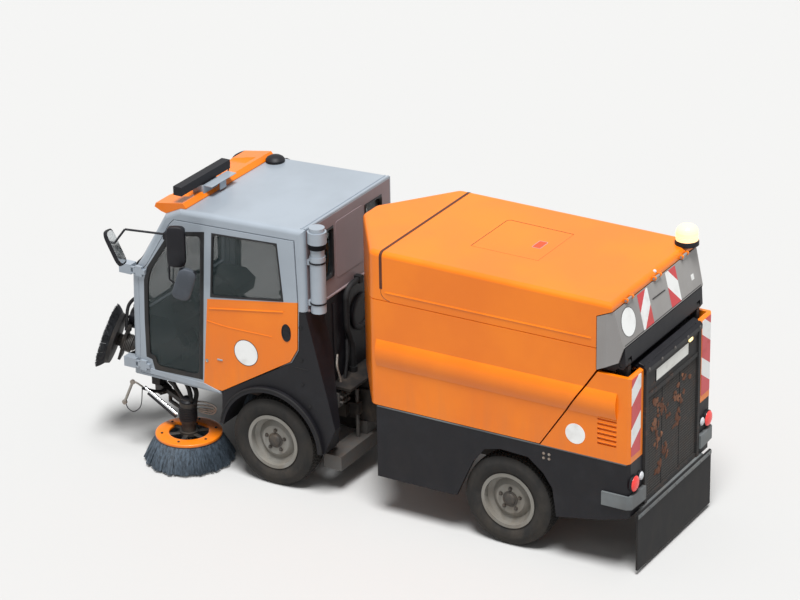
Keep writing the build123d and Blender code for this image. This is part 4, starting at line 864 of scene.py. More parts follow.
addPiece("tailStrips", bothSides(strip), "tailStripes", "rear_unit")
addPiece("blankPlate", prism(plateLoop, *look["plateY"], "Y", 0.0006), "plateLabel", "rear_unit")
addPiece("plateHolder", holder, "blackPlastic", "rear_unit")
addPiece("plateLamp", slab(*look["plateLamp"]), "lampGlow", "rear_unit")
bezels = []
for key, finish, replaced in (("red", "redLens", ["tail_lamps"]), ("white", "clearLens", ())):
    x, z, radius, depth = look[key]
    inner = radius - look["lip"]
    bulge = np.vstack([[0, 0], [0, inner], dome(depth * 0.45, depth * 0.55, inner, 9)])
    collar = [(0, inner - 0.004), (0, radius), (depth * 0.4, radius), (depth * 0.5, radius - 0.003),
              (depth * 0.5, radius - 0.006)]
    addPiece(f"{key}Lamps", bothSides(lathe(bulge, 40, "Y", (x, y, z))), finish, "rear_unit", replaced)
    bezels.append(bothSides(lathe(collar, 40, "Y", (x, y, z), True)))
addPiece("lampBezels", joined(bezels), "blackPlastic", "rear_unit")

half, (foot, top), wireY = look["meshHalf"], look["meshZ"], y - look["meshSink"]
wireEnds = [((x, foot), (x, top)) for x in np.arange(-half, half + 0.001, look["pitch"])]
wireEnds += [((-half, z), (half, z)) for z in np.arange(foot, top, look["pitch"])]
wires = [tube(placed(ends, wireY, "Y"), look["wire"], 5) for ends in wireEnds]
addPiece("screenWires", joined(wires), "castMetal", "rear_unit", slot="black_steel")

leafLook = dict(
    count=90, spread=0.03, thick=0.0008,
    clumps=((0.25, 1.16), (0.16, 1.08), (0.24, 0.98), (0.2, 0.86), (0.1, 0.74), (-0.08, 1.12),
        (-0.16, 1.02), (-0.1, 0.9), (-0.22, 1.14), (0.06, 1.0), (0.18, 0.66)))


def leaf(look, front):
    # a small pointed strip, bent by a half sine, turned at random and pressed on the mesh
    u, v = np.linspace(-1, 1, 5)[:, None], np.linspace(-1, 1, 3)
    long, wide = rng.uniform(0.014, 0.032), rng.uniform(0.010, 0.022)
    x, z = look["clumps"][rng.integers(len(look["clumps"]))] + rng.normal(0, look["spread"], 2)
    angle, curl = rng.uniform(0, np.pi), rng.uniform(0.001, 0.005)
    along, across = long * u, wide * v * (1 - 0.85 * u ** 2)
    face = np.stack(np.broadcast_arrays(x + along * math.cos(angle) - across * math.sin(angle),
                                        front + curl * np.cos(u * np.pi / 2),
                                        z + along * math.sin(angle) + across * math.cos(angle)), -1)
    return capped(np.concatenate([face, (face - [0, look["thick"], 0])[:, ::-1]], 1))


litter = joined([leaf(leafLook, wireY + 0.0012) for _ in range(leafLook["count"])])
addPiece("leafLitter", litter, "leafBrown", "rear_unit", sharp=60)

# Trim of the chassis: sills, bolts, louvre lips, a blank disc, the flap's clamp and the shelf of the hood.
trimLook = dict(
    sill=((0.634, 0.272, 0.846), (0.6395, 2.222, 0.8565)),
    skirtBolts=(0.635, (1.592, 1.634), (0.758, 0.792)),
    vent=((0.636, 2.003, 0.9815), (0.6435, 2.145, 0.9885)), vents=6, ventStep=0.036,
    sticker=((0.6392, 1.835, 1.0), 0.075, 0.0009), clamp=((-0.575, 2.2858, 0.428), (0.575, 2.2915, 0.4585)),
    clampXs=(-0.53, 0.53, 9), clampBolt=(2.2915, 0.443), hoodXs=(-0.394, -0.2, 0.394, 0.2, 0),
    hoodBolt=(2.264, 1.474),
    shelf=((2.03, 1.47), (2.2, 1.492), (2.2, 1.497), (2.03, 1.475)), shelfHalf=0.43,
    lip=((2.192, 1.494), (2.24, 1.5), (2.232, 1.512), (2.2, 1.522), (2.19, 1.515)), lipHalf=0.425)
look = trimLook
boltX, boltYs, boltZs = look["skirtBolts"]
skirtBolts = boltHeads([(boltX, y, z) for y in boltYs for z in boltZs], 0.008, 0.006, "X")
rises = [Matrix.Translation((0, 0, look["ventStep"] * k)) for k in range(look["vents"])]
vents = [moved(slab(*look["vent"], 0.002), rise) for rise in rises]
clampBolts = boltHeads([(x, *look["clampBolt"]) for x in np.linspace(*look["clampXs"])], 0.008, 0.006, "Y")
shelf = prism(look["shelf"], -look["shelfHalf"], look["shelfHalf"])
lip = prism(look["lip"], -look["lipHalf"], look["lipHalf"], round=0.004)
hoodBolts = boltHeads([(x, *look["hoodBolt"]) for x in look["hoodXs"]], 0.011, 0.006, "Y")
for name, part, finish, slot in (
        ("sillTrim", bothSides(slab(*look["sill"], 0.0015)), "bumperPaint", "silver_paint"),
        ("skirtBolts", bothSides(skirtBolts), "bareSteel", None),
        ("ventLips", bothSides(*vents), "orangePaint", None),
        ("sideSticker", disc(*look["sticker"]), "blankLabel", None),
        ("flapClamp", joined([slab(*look["clamp"], 0.002), clampBolts]), "bumperPaint", "bare_steel"),
        ("hoodShelf", joined([shelf, lip]), "blackPlastic", None),
        ("hoodBolts", hoodBolts, "castMetal", "black_steel")):
    addPiece(name, part, finish, "rear_unit", slot=slot)
print("tail")

# Beacon: a dark foot and a ribbed amber dome. Radius = dome*sqrt(1 - ((t - 0.42)/0.58)^2.4) above t = 0.42,
# plus fine ribs.
beaconLook = dict(
    dome=0.079, domeFoot=0.034, domeHigh=0.116, straight=0.42, bend=2.4, rib=0.0012,
    foot=((0, 0), (0, 0.085), (0.024, 0.085), (0.031, 0.081), (0.036, 0.081), (0.036, 0)))
look = beaconLook
low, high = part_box("beacon")
spot = (*((low + high) / 2).xy, low.z)
t = np.linspace(0, 1, 22)
bent = np.clip((t - look["straight"]) / (1 - look["straight"]), 0, 1)
domeR = look["dome"] * np.sqrt(1 - bent ** look["bend"])
ribs = look["rib"] * np.sin(t * 60) * (t < 0.8) * (domeR > 0.02)
shell = np.stack([look["domeFoot"] + look["domeHigh"] * t, np.maximum(domeR + ribs, 0)], -1)
addPiece("beaconDome", lathe(shell, 56, "Z", spot), "amberLens", "hopper", ["beacon"])
addPiece("beaconFoot", lathe(look["foot"], 48, "Z", spot), "blackPlastic", "hopper")
print("beacon")

# Doors: seals round the panes, a blank disc, a cupped handle, a lock and the pressed lines.
# handleCup: shares of the handle's size and how far each loop of the dish stands out.
doorLook = dict(
    outer=0.618, paneLow=0.6035,
    frontPane=((-1.142, 1.884), (-1.44, 1.828), (-1.655, 1.51), (-1.688, 1.4), (-1.7, 1.085), (-1.7, 0.79),
        (-1.65, 0.78), (-1.628, 0.7), (-1.209, 0.712)),
    rearPane=((-1.082, 1.888), (-0.532, 1.916), (-0.492, 1.478), (-1.116, 1.384)), disc=(-0.825, 1.01),
    discRadius=0.1, discRim=(0.0975, 0.1012, 0.0017), handle=(-0.478, 1.241), handleHalf=(0.0355, 0.0615),
    lever=((-0.009, -0.027, -0.01), (0.005, 0.027, 0.012)),
    handleCup=((1.1, 0.0), (1.1, 0.0032), (0.97, 0.0038), (0.9, 0.001), (0.86, -0.008), (0.7, -0.0128),
        (0.35, -0.0132), (0.02, -0.0132)),
    upperLine=((-1.125, 1.294), (-0.9, 1.332), (-0.5, 1.397)),
    lowerLine=((-1.15, 1.193), (-0.963, 1.179), (-0.6, 1.184)), lockSpot=(-1.166, 0.876),
    lock=((0, 0), (0, 0.013), (0.003, 0.013), (0.004, 0.009), (0.0025, 0.008), (0.0025, 0)),
    sill=((-1.735, 0.662), (-1.06, 0.64), (-1.06, 0.652), (-1.2, 0.69), (-1.62, 0.7), (-1.735, 0.715)),
    catch=((-0.002, -1.075, 0.9), (0.006, -1.03, 0.912)))


def doorSet(look):
    # everything that lies on the outside of the left door, by name, with its finish
    x = look["outer"]
    out = Matrix.Translation((x, 0, 0))
    seals = [gasket(look["frontPane"], 0.034, look["paneLow"], x + 0.0006, 0.045),
             gasket(look["rearPane"], 0.014, look["paneLow"], x + 0.0006, 0.035)]
    cup = capped([placed(ellipse(look["handle"], *np.multiply(look["handleHalf"], share)), x + rise, "X")
                  for share, rise in look["handleCup"]])
    lever = moved(slab(*look["lever"]), Matrix.Translation((x, *look["handle"])))
    lines = [curved(placed(look[key], x, "X"), 14, radius)
             for key, radius in (("upperLine", 0.0055), ("lowerLine", 0.003))]
    sill = prism(roundedLoop(look["sill"], 0.01, 4), x - 0.001, x + 0.004, "X", 0.002)
    discSpot = (x, *look["disc"])
    return dict(doorSill=(joined([sill, moved(slab(*look["catch"], 0.002), out)]), "silverPaint"),
                doorSeals=(joined(seals), "sealRubber"),
                doorHandle=(joined([cup, lever]), "blackPlastic"),
                doorLines=(joined(lines), "orangePaint"),
                doorLock=(lathe(look["lock"], 24, "X", (x, *look["lockSpot"])), "bareSteel"),
                doorDisc=(disc(discSpot, look["discRadius"], 0.0012), "blankLabel"),
                doorDiscRim=(*collars([0], *look["discRim"], 56, "X", discSpot), "sealRubber"))


# Mirror heads: a bulged shell behind each plate and a glass that stands in its front.
# The heads' columns: place from the base, turns about X, Y and Z, then width, height and depth.
mirrorLook = dict(
    base=(0.618, -1.448, 0.0),
    heads=(((0.244, -0.302, 1.735), (28, 0, 20), (0.15, 0.27, 0.022)), ((0.12, 0.143, 1.785), (0, 0, 115),
        (0.13, 0.3, 0.04)), ((0.157, 0.223, 1.525), (-20, 0, 115), (0.13, 0.25, 0.03))))


def mirrorHead(spot, turns, size):
    # shell: rounded loops shrink as cos(t) while the back bulges as sin(t); glass: a thin plate in front
    wide, high, depth = np.array(size) / 2
    t = np.linspace(0, np.pi / 2, 8)
    flat = roundedBox(-wide, wide, -high, high, wide / 1.2, 8)
    bulge = zip(0.16 + 0.87 * np.cos(t) ** 0.6, -depth - 0.014 * np.sin(t))
    loops = [(1.012, depth + 0.0008), (1.03, 0.0), *bulge]
    shell = capped([placed(flat * share, y, "Y") for share, y in loops])
    glass = roundedBox(-wide, wide, -high, high, wide / 1.3, 8) * 0.93
    place = Matrix.Translation(Vector(mirrorLook["base"]) + Vector(spot))
    for angle, axis in zip(turns, "XYZ"):
        place = place @ turned(angle, axis)
    return moved(shell, place), moved(prism(glass, depth, depth + 0.0022, "Y", 0.0006), place)


doorParts = doorSet(doorLook)
shells, faces = zip(*[mirrorHead(*head) for head in mirrorLook["heads"]])
doorParts.update(mirrorShells=(joined(shells[:2]), "blackPlastic"), mirrorBack=(shells[2], "mirrorBack"),
                 mirrorFaces=(joined(faces), "mirrorGlass"))
for side, sign in sides.items():
    for name, (part, finish) in doorParts.items():
        addPiece(f"{name}_{side}", onSide(part, sign), finish, f"door_{side}")
print("doors and mirrors")

# Cab: seals round the screen and the rear windows, the rear panel, wiper, lamps and roof pieces.
# skin: x from and to, z from and to of the rear wall's sheets, on the left and across the middle.
cabLook = dict(
    rearY=-0.318, window=((0.215, 1.56), (0.455, 1.56), (0.455, 1.95), (0.215, 1.95)),
    screen=((0.546, -1.8165, 1.106), (0.546, -1.803, 1.44), (0.546, -1.713, 1.572), (0.546, -1.513, 1.908)),
    panel=(-0.185, 0.185, 1.53, 1.965), rollZ=1.425, rollHalf=0.57,
    skin=((0.455, 0.572, 1.44, 2.03), (0.214, 0.456, 1.44, 1.56), (0.214, 0.456, 1.95, 2.03)),
    middle=(-0.215, 0.215, 1.44, 2.03), lower=(-0.6, 0.6, 0.66, 1.41),
    ribs=(-0.52, -0.4, -0.28, 0.24, 0.36), ribHalf=0.012, ribZ=(0.72, 1.36), hatch=(-0.12, 1.16),
    hatchSection=((0.0, 0.0), (0.0, 0.14), (0.02, 0.14), (0.026, 0.128), (0.026, 0.1), (0.012, 0.092),
        (0.012, 0)))


def wallSlab(x0, x1, z0, z1, back, front, round):
    # a sheet or rib on the cab's rear wall, from back to front of the wall's face
    return slab((x0, cabLook["rearY"] + back, z0), (x1, cabLook["rearY"] + front, z1), round)


look, wallY = cabLook, cabLook["rearY"]
windowSeal = gasket(look["window"], 0.016, wallY - 0.022, wallY + 0.003, 0.05, "Y")
screenSide = smoothPath(look["screen"], 26)
screenSeal = tube(np.concatenate([screenSide, screenSide[::-1] * [-1, 1, 1]]), 0.011, 10, closed=True)
roll = tube([(sign * look["rollHalf"], wallY, look["rollZ"]) for sign in (-1, 1)], 0.011, 12)
trim = prism(roundedBox(*look["panel"], 0.03, 6), wallY - 0.001, wallY + 0.0045, "Y", 0.002)
lower = [wallSlab(*look["lower"], -0.001, 0.004, 0.001)]
ribHalf = look["ribHalf"]
lower += [wallSlab(x - ribHalf, x + ribHalf, *look["ribZ"], 0, 0.012, 0.004) for x in look["ribs"]]
lower += [lathe(look["hatchSection"], 48, "Y", (look["hatch"][0], wallY, look["hatch"][1]))]
middle, *skin = [wallSlab(*sheet, -0.001, 0.0015, 0.0004) for sheet in (look["middle"], *look["skin"])]
addPiece("cabSeals", joined([screenSeal, bothSides(windowSeal)]), "sealRubber", "front_unit")
# the rear wall's sheets and trim wear the silver with painted shade and a painted brownish reflection
addPiece("rearWallSkin", joined([middle, bothSides(*skin)]), "wallPaint", "front_unit")
addPiece("rearWallLower", joined(lower), "blackPlastic", "front_unit")
addPiece("rearWallTrim", joined([trim, roll]), "wallPaint", "front_unit")

# Roof and nose: wiper, dome, the light bar's lenses, feet and lead, and the headlamps.
roofLook = dict(
    wiperArm=((0.06, -1.829, 1.118), (0.03, -1.826, 1.3), (-0.02, -1.812, 1.45)),
    wiperBlade=((0.13, -1.8265, 1.26), (-0.02, -1.812, 1.445), (-0.12, -1.79, 1.49)),
    wiperHub=((-0.002, 0), (-0.002, 0.02), (0.016, 0.018), (0.02, 0.01), (0.02, 0)),
    wiperSpot=(0.06, -1.826, 1.105), domeSpot=(-0.5, -1.25, 2.022),
    dome=((0.0, 0), (0.0, 0.072), (0.012, 0.072), (0.026, 0.062), (0.037, 0.044), (0.043, 0.02),
        (0.044, 0)),
    barLenses=(((0.0, -1.4155, 2.112), (0.2, -1.411, 2.166)), ((0.36, -1.4155, 2.112),
        (0.56, -1.411, 2.166))),
    barFeet=(((0.148, -1.4225, 2.03), (0.332, -1.3275, 2.1045)), ((0.0, -1.345, 2.092),
        (0.32, -1.262, 2.099)), ((0.12, -1.28, 2.03), (0.2, -1.272, 2.095))),
    lead=((-0.035, -1.365, 2.12), (-0.075, -1.37, 2.13), (-0.085, -1.38, 2.1), (-0.07, -1.385, 2.055),
        (-0.04, -1.38, 2.035)),
    lamp=(0.46, -1.851, 1.0), lampRadius=0.062,
    lampRim=((0.036, 0.06), (0.036, 0.0695), (-0.001, 0.0695), (-0.004, 0.066), (-0.002, 0.06)))
look = roofLook
wiper = [curved(look["wiperArm"], 16, 0.006), tube(look["wiperBlade"], 0.0055, 6),
         lathe(look["wiperHub"], 20, "Z", look["wiperSpot"])]
barLenses, barFeet = ([slab(*ends, round) for ends in look[key]]
                      for key, round in (("barLenses", 0.0015), ("barFeet", 0.002)))
lampShape = np.vstack([[0.03, 0], [0.03, look["lampRadius"]], dome(0, -0.014, look["lampRadius"], 10)])
for name, part, finish, *more in (
        ("wiper", joined(wiper), "blackPlastic"),
        ("roofDome", lathe(look["dome"], 36, "Z", look["domeSpot"]), "blackPlastic"),
        ("barLenses", joined(barLenses), "sealRubber", (), "black_plastic"),
        ("barFeet", joined(barFeet), "silverPaint"),
        ("barLoop", curved(look["lead"], 24, 0.005), "sealRubber"),
        ("headLenses", bothSides(lathe(lampShape, 40, "Y", look["lamp"])), "clearLens", ["headlamps"]),
        ("headRims", bothSides(lathe(look["lampRim"], 40, "Y", look["lamp"], True)), "blackPlastic")):
    addPiece(name, part, finish, "front_unit", *more)

# Fenders, lockers and the intake stack: an arc of 430 mm round the wheel, bolts, a seam, bands and fins.
fenderLook = dict(
    wheel=(-0.63, 0.341), lip=0.43, lipX=0.642, angles=(4, 166), boltX=0.612,
    bolts=((-0.36, 1.3), (-0.36, 1.05), (-0.36, 0.86), (-0.3, 0.7), (-0.25, 0.5)),
    seam=((0.6125, -0.44, 0.985), (0.6125, -0.3, 0.985)), stack=(0.54, -0.248, 0), bands=(1.49, 1.8),
    band=(0.056, 0.060, 0.012), fins=(1.908, 1.946, 0.009), fin=(0.034, 0.062, 0.0035))
look = fenderLook
lipTurn = np.radians(np.linspace(*look["angles"], 60))
lipPath = np.array(look["wheel"]) + look["lip"] * np.stack([np.cos(lipTurn), np.sin(lipTurn)], -1)
fenderTrim = joined([tube(placed(lipPath, look["lipX"], "X"), 0.0085, 10), tube(look["seam"], 0.003, 6),
                     boltHeads(placed(look["bolts"], look["boltX"], "X"), 0.012, 0.007, "X")])
for side, sign in sides.items():
    addPiece(f"fenderTrim_{side}", onSide(fenderTrim, sign), "blackRubber", "front_unit")
stackBands = collars(look["bands"], *look["band"], 40, "Z", look["stack"])
stackFins = collars(np.arange(*look["fins"]), *look["fin"], 36, "Z", look["stack"])
addPiece("stackTrim", joined(stackBands + stackFins), "blackPlastic", "front_unit")
print("cab")

# Inside the cab: a round wheel rim with a hub, an instrument hood, pedals and a lever console.
insideLook = dict(
    wheel=(0.265, -1.33, 1.25), wheelTilt=-38, rim=0.19, rimThick=(0.0155, 0.0165),
    hub=((-0.03, 0), (-0.03, 0.03), (0.0, 0.052), (0.012, 0.05), (0.018, 0.03), (0.018, 0)),
    spoke=((0.03, -0.014, -0.008), (0.182, 0.014, 0.008)), spokes=(0, 180, 270),
    hood=((-1.6, 1.085), (-1.47, 1.085), (-1.5, 1.19), (-1.6, 1.165)),
    console=((-1.3, 0.68), (-0.62, 0.68), (-0.66, 1.1), (-0.98, 1.14), (-1.08, 1.02), (-1.3, 0.98)),
    levers=((0, -0.9, 0), (0.012, -0.82, 0), (-0.012, -0.75, 0)), lever=((0, 0, 1.11), (0, -0.01, 1.21)),
    knob=((0, -0.012, 1.222), 0.018, 1.2, 10), pedals=((0.16, 0, 0), (0.27, 0, 0), (0.36, 0, 0)),
    pedal=((0, -1.52, 0.72), (0.07, -1.5, 0.82), 0.004), pedalRod=((0.035, -1.51, 0.79), (0.035, -1.6, 0.93)),
    dials=((0.2, -1.4945, 1.135), (0.33, -1.4945, 1.135)),
    dial=((0, 0), (0, 0.034), (0.003, 0.034), (0.0035, 0.03), (0.002, 0.03), (0.002, 0)))
look, t = insideLook, circle(14)
rimSection = np.stack([look["rimThick"][0] * np.sin(t), look["rim"] + look["rimThick"][1] * np.cos(t)], -1)
wheelParts = [lathe(rimSection, 64, closed=True), lathe(look["hub"], 36)]
wheelParts += [moved(slab(*look["spoke"], 0.004), turned(angle, "Z")) for angle in look["spokes"]]
wheelPlace = Matrix.Translation(look["wheel"]) @ turned(look["wheelTilt"], "X")
dashParts = [prism(roundedLoop(look["hood"], 0.03, 5), 0.12, 0.41, round=0.006),
             prism(roundedLoop(look["console"], 0.05, 5), -0.035, 0.035, round=0.008)]
lever = joined([tube(look["lever"], 0.006, 8), ball(*look["knob"])])
pedal = joined([slab(*look["pedal"]), tube(look["pedalRod"], 0.008, 8)])
dashParts += [moved(lever, Matrix.Translation(spot)) for spot in look["levers"]]
dashParts += [moved(pedal, Matrix.Translation(spot)) for spot in look["pedals"]]
dials = [lathe(look["dial"], 32, "Y", spot) for spot in look["dials"]]
addPiece("steeringRim", moved(joined(wheelParts), wheelPlace), "dashPlastic", "front_unit")
addPiece("dashParts", joined(dashParts), "dashPlastic", "front_unit")
addPiece("dashDials", joined(dials), "clearLens", "front_unit")
print("inside the cab")

# Seats: each cushion starts as a slightly smaller rounded block and is blown up as cloth.
# channels: along which axis, at which places, how deep and how wide. frame: a seat's blocks about its middle.
seatLook = dict(
    centre=0.265, cushion=(0.402, 0.472, 0.097), back=(0.402, 0.085, 0.652), squared=(4.5, 4.0),
    cushionSpot=(0, -0.83, 1.0385), backSpot=(0, -0.532, 1.405), lean=-6.5, cap=0.018, voxel=0.0075,
    pressure=4.0, frames=20, fill=0.8, cushionChannels=((0, (-0.12, 0.12), 0.008, 0.012),),
    backChannels=((0, (-0.12, 0.12), 0.007, 0.012), (2, (-0.12, 0.1), 0.007, 0.012)),
    frame=(((-0.12, -1.04, 0.672), (0.12, -0.62, 0.965), 0.01), ((-0.19, -1.06, 0.963),
        (0.19, -0.595, 0.997), 0.006), ((-0.06, -0.6, 1.0), (0.06, -0.47, 1.06), 0.006)),
    backPlate=((-0.17, -0.045, -0.31), (0.17, -0.015, 0.3), 0.01), backPlateSpot=(0, -0.455, 1.4))


def pillow(size, squared):
    # a superellipsoid: every axis takes sign(c)*|c|^(2/squared) of the usual sphere
    lat, lon = np.linspace(-np.pi / 2, np.pi / 2, 22)[:, None], circle(44)[None]
    wide, cosLon, sinLon = (eased(value, 2 / squared) for value in (np.cos(lat), np.cos(lon), np.sin(lon)))
    sphere = np.broadcast_arrays(wide * cosLon, wide * sinLon, eased(np.sin(lat), 2 / squared))
    return surface(np.stack(sphere, -1) * size / 2, wrapCols=True)


def corners(mesh):
    # the mesh's points as one array
    values = np.empty(len(mesh.vertices) * 3)
    mesh.vertices.foreach_get("co", values)
    return values.reshape(-1, 3)


def evaluated(work):
    # the object as its modifiers leave it
    return work.evaluated_get(bpy.context.evaluated_depsgraph_get())


def inflated(part):
    # voxel remesh, then cloth under pressure for some frames, each point's move capped at the same length
    look = seatLook
    work = addObject("padStart", part)
    remesh = work.modifiers.new("voxels", "REMESH")
    remesh.mode, remesh.voxel_size = "VOXEL", look["voxel"]
    bpy.context.view_layer.update()
    ready = bpy.data.meshes.new_from_object(evaluated(work))
    work.modifiers.remove(remesh)
    work.data = ready
    start = soft = corners(ready)
    blow = work.modifiers.new("air", "CLOTH")
    blow.settings.use_pressure, blow.settings.uniform_pressure_force = True, look["pressure"]
    blow.settings.effector_weights.gravity = 0
    for step in range(look["frames"]):
        scene.frame_set(step + 1)
    soft = corners(evaluated(work).data)
    work.modifiers.remove(blow)
    scene.frame_set(1)
    move = soft - start
    length = np.linalg.norm(move, axis=1, keepdims=True)
    faces = [list(polygon.vertices) for polygon in ready.polygons]
    bpy.data.objects.remove(work)
    return start + move * np.minimum(1, look["cap"] / np.maximum(length, 1e-9)), faces


def channelled(part, axis, lines, depth, width):
    # sewn channels: points near a line sink by depth*exp(-(distance/width)^2) toward the middle
    points = part[0].copy()
    middle = points.mean(0)
    for line in lines:
        near = np.exp(-((points[:, axis] - line) / width) ** 2)[:, None]
        pull = middle - points
        pull[:, axis] = 0
        points += unit(pull) * depth * near
    return points, part[1]


look = seatLook
pads = {}
for kind, squared, place in (
        ("cushion", look["squared"][0], Matrix.Translation(look["cushionSpot"])),
        ("back", look["squared"][1], Matrix.Translation(look["backSpot"]) @ turned(look["lean"], "X"))):
    pad = inflated(pillow(look[kind], squared))
    for channel in look[f"{kind}Channels"]:
        pad = channelled(pad, *channel)
    pads[kind] = moved(pad, place)
backPlace = Matrix.Translation(look["backPlateSpot"]) @ turned(look["lean"], "X")
seatFrame = joined([slab(*block) for block in look["frame"]] + [moved(slab(*look["backPlate"]), backPlace)])
frames = []
for index, sign in enumerate(sides.values()):
    shift = Matrix.Translation((sign * look["centre"], 0, 0))
    frames.append(moved(seatFrame, shift))
    for kind, part in pads.items():
        replaced = ["seats"] if kind == "cushion" and index == 0 else ()
        name = f"seat{kind.title()}_{index}"
        pad = addPiece(name, moved(part, shift), "seatCloth", "front_unit", replaced, sharp=180)
        smooth = pad.modifiers.new("smooth", "SUBSURF")
        smooth.levels = smooth.render_levels = 1
addPiece("seatFrames", joined(frames), "blackPlastic", "front_unit")
print("seats")

# Brush arms: a bright strut and a thin rod, a dark link below, ribbed hoses, the motor's cap and fins, three
# thin loops behind it, and a pull handle with its wire. A hose's columns: its points, radius and pitch.
armLook = dict(
    motor=(0.545, -1.405, 0), strut=((0.555, -1.777, 0.5), (0.555, -1.497, 0.341)),
    rod=((0.42, -1.655, 0.51), (0.46, -1.58, 0.5), (0.5, -1.5, 0.47)), pin=(0.53, -1.44, 0.455),
    hoses=((((0.4, -1.66, 0.5), (0.46, -1.6, 0.545), (0.54, -1.5, 0.535), (0.565, -1.42, 0.47)), 0.014),
        (((0.385, -1.67, 0.49), (0.43, -1.62, 0.565), (0.52, -1.53, 0.56), (0.545, -1.44, 0.47)), 0.012),
        (((0.36, -1.62, 0.52), (0.42, -1.52, 0.56), (0.5, -1.42, 0.54), (0.56, -1.36, 0.47)), 0.017),
        (((0.34, -1.6, 0.5), (0.4, -1.48, 0.54), (0.48, -1.37, 0.52), (0.55, -1.34, 0.45)), 0.017),
        (((0.42, -1.65, 0.44), (0.43, -1.61, 0.435), (0.445, -1.55, 0.412), (0.46, -1.47, 0.4),
        (0.5, -1.42, 0.43)), 0.021, 0.011)),
    hoseBend=((0.38, -1.65, 0.5), (0.56, -1.38, 0.46)), link=((0.555, -1.75, 0.455), (0.555, -1.51, 0.315)),
    crossPin=((0.415, -1.675, 0.445), (0.49, -1.715, 0.45), (0.575, -1.785, 0.498)),
    cap=((0.44, 0), (0.44, 0.052), (0.468, 0.052), (0.48, 0.04), (0.496, 0.038), (0.5, 0.03), (0.5, 0)),
    fins=(0.325, 0.435, 0.014), fin=(0.056, 0.068, 0.006), grip=((0.605, -1.848, 0.545),
        (0.605, -1.929, 0.365)),
    leverRod=((0.57, -1.785, 0.505), (0.6, -1.82, 0.545), (0.605, -1.848, 0.545)),
    wire=((0.605, -1.925, 0.365), (0.605, -1.9, 0.318), (0.6, -1.85, 0.302), (0.59, -1.795, 0.36),
        (0.575, -1.785, 0.49)),
    loopDrops=(0.0, 0.028, 0.056))


def armLoop(drop):
    # one of the loops behind the motor: its ends lie lower and its bow is tighter the further it drops
    half = drop / 2
    bow = [(0.5, -1.4, 0.445 - drop), (0.47, -1.3, 0.448 - drop), (0.46, -1.215 - half, 0.42 - half),
           (0.46, -1.25 - half, 0.36 + half), (0.49, -1.35, 0.37 + half)]
    return curved(bow, 40, 0.006, 10)


look = armLook
armFins = collars(np.arange(*look["fins"]), *look["fin"], centre=look["motor"])
armSets = dict(
    armRods=("rodChrome", None, [tube(look["strut"], 0.0125, 16), tube(look["rod"], 0.008, 10),
                                 drum(-0.024, 0.024, 0.017, 20, "Y", look["pin"])]),
    armHoses=("sealRubber", None, [ribbedHose(*hose) for hose in look["hoses"]]),
    armLinks=("blackPlastic", "black_steel", [tube(look["link"], 0.01, 12), curved(look["wire"], 40, 0.0035),
                                              curved(look["crossPin"], 16, 0.012, 14)]),
    armMotor=("blackPlastic", "cast_metal", [lathe(look["cap"], 36, "Z", look["motor"]), *armFins]),
    armLoops=("bareSteel", None, [armLoop(drop) for drop in look["loopDrops"]]),
    armLever=("bareSteel", None, [tube(look["grip"], 0.0105, 12), curved(look["leverRod"], 14, 0.007),
                                  *[drum(-0.008, 0.008, 0.019, 24, "X", end) for end in look["grip"]]]),
)
for side, sign in sides.items():
    for name, (finish, slot, parts) in armSets.items():
        bends = name == "armHoses"
        body = None if bends else f"arm_{side}"
        piece = addPiece(f"{name}_{side}", onSide(joined(parts), sign), finish, body, slot=slot)
        if bends:
            hoseStart, hoseEnd = [(sign * x, y, z) for x, y, z in look["hoseBend"]]
            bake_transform(piece)
print("brush arms")

# Hydraulic hoses and a valve block between the cab's rear wall and the deck.
deckLook = dict(
    hoses=((((0.33, -0.297, 1.06), (0.365, -0.285, 0.92), (0.34, -0.275, 0.79), (0.28, -0.265, 0.7)),
        0.012), (((0.42, -0.297, 1.2), (0.455, -0.287, 1.02), (0.41, -0.28, 0.82), (0.31, -0.265, 0.71)),
        0.013), (((0.1, -0.297, 1.02), (0.13, -0.28, 0.9), (0.17, -0.272, 0.78), (0.21, -0.265, 0.7)),
        0.012)),
    bright=(((0.235, -0.297, 0.96), (0.27, -0.28, 0.88), (0.25, -0.27, 0.78), (0.245, -0.265, 0.69)), 0.01),
    block=((0.19, -0.3, 0.585), (0.33, -0.235, 0.7), 0.004), portXs=(0.215, 0.26, 0.305), portY=-0.236,
    portZs=(0.62, 0.665), port=((0, 0), (0, 0.014), (0.02, 0.014), (0.024, 0.009), (0.024, 0)))
look = deckLook
portSpots = [(x, look["portY"], z) for x in look["portXs"] for z in look["portZs"]]
ports = [lathe(look["port"], 16, "Y", spot) for spot in portSpots]
addPiece("deckHoses", joined([ribbedHose(*hose) for hose in look["hoses"]]), "blackRubber", "front_unit")
addPiece("deckBright", ribbedHose(*look["bright"]), "bareSteel", "front_unit")
addPiece("valveBlock", joined([slab(*look["block"]), *ports]), "castMetal", "front_unit")

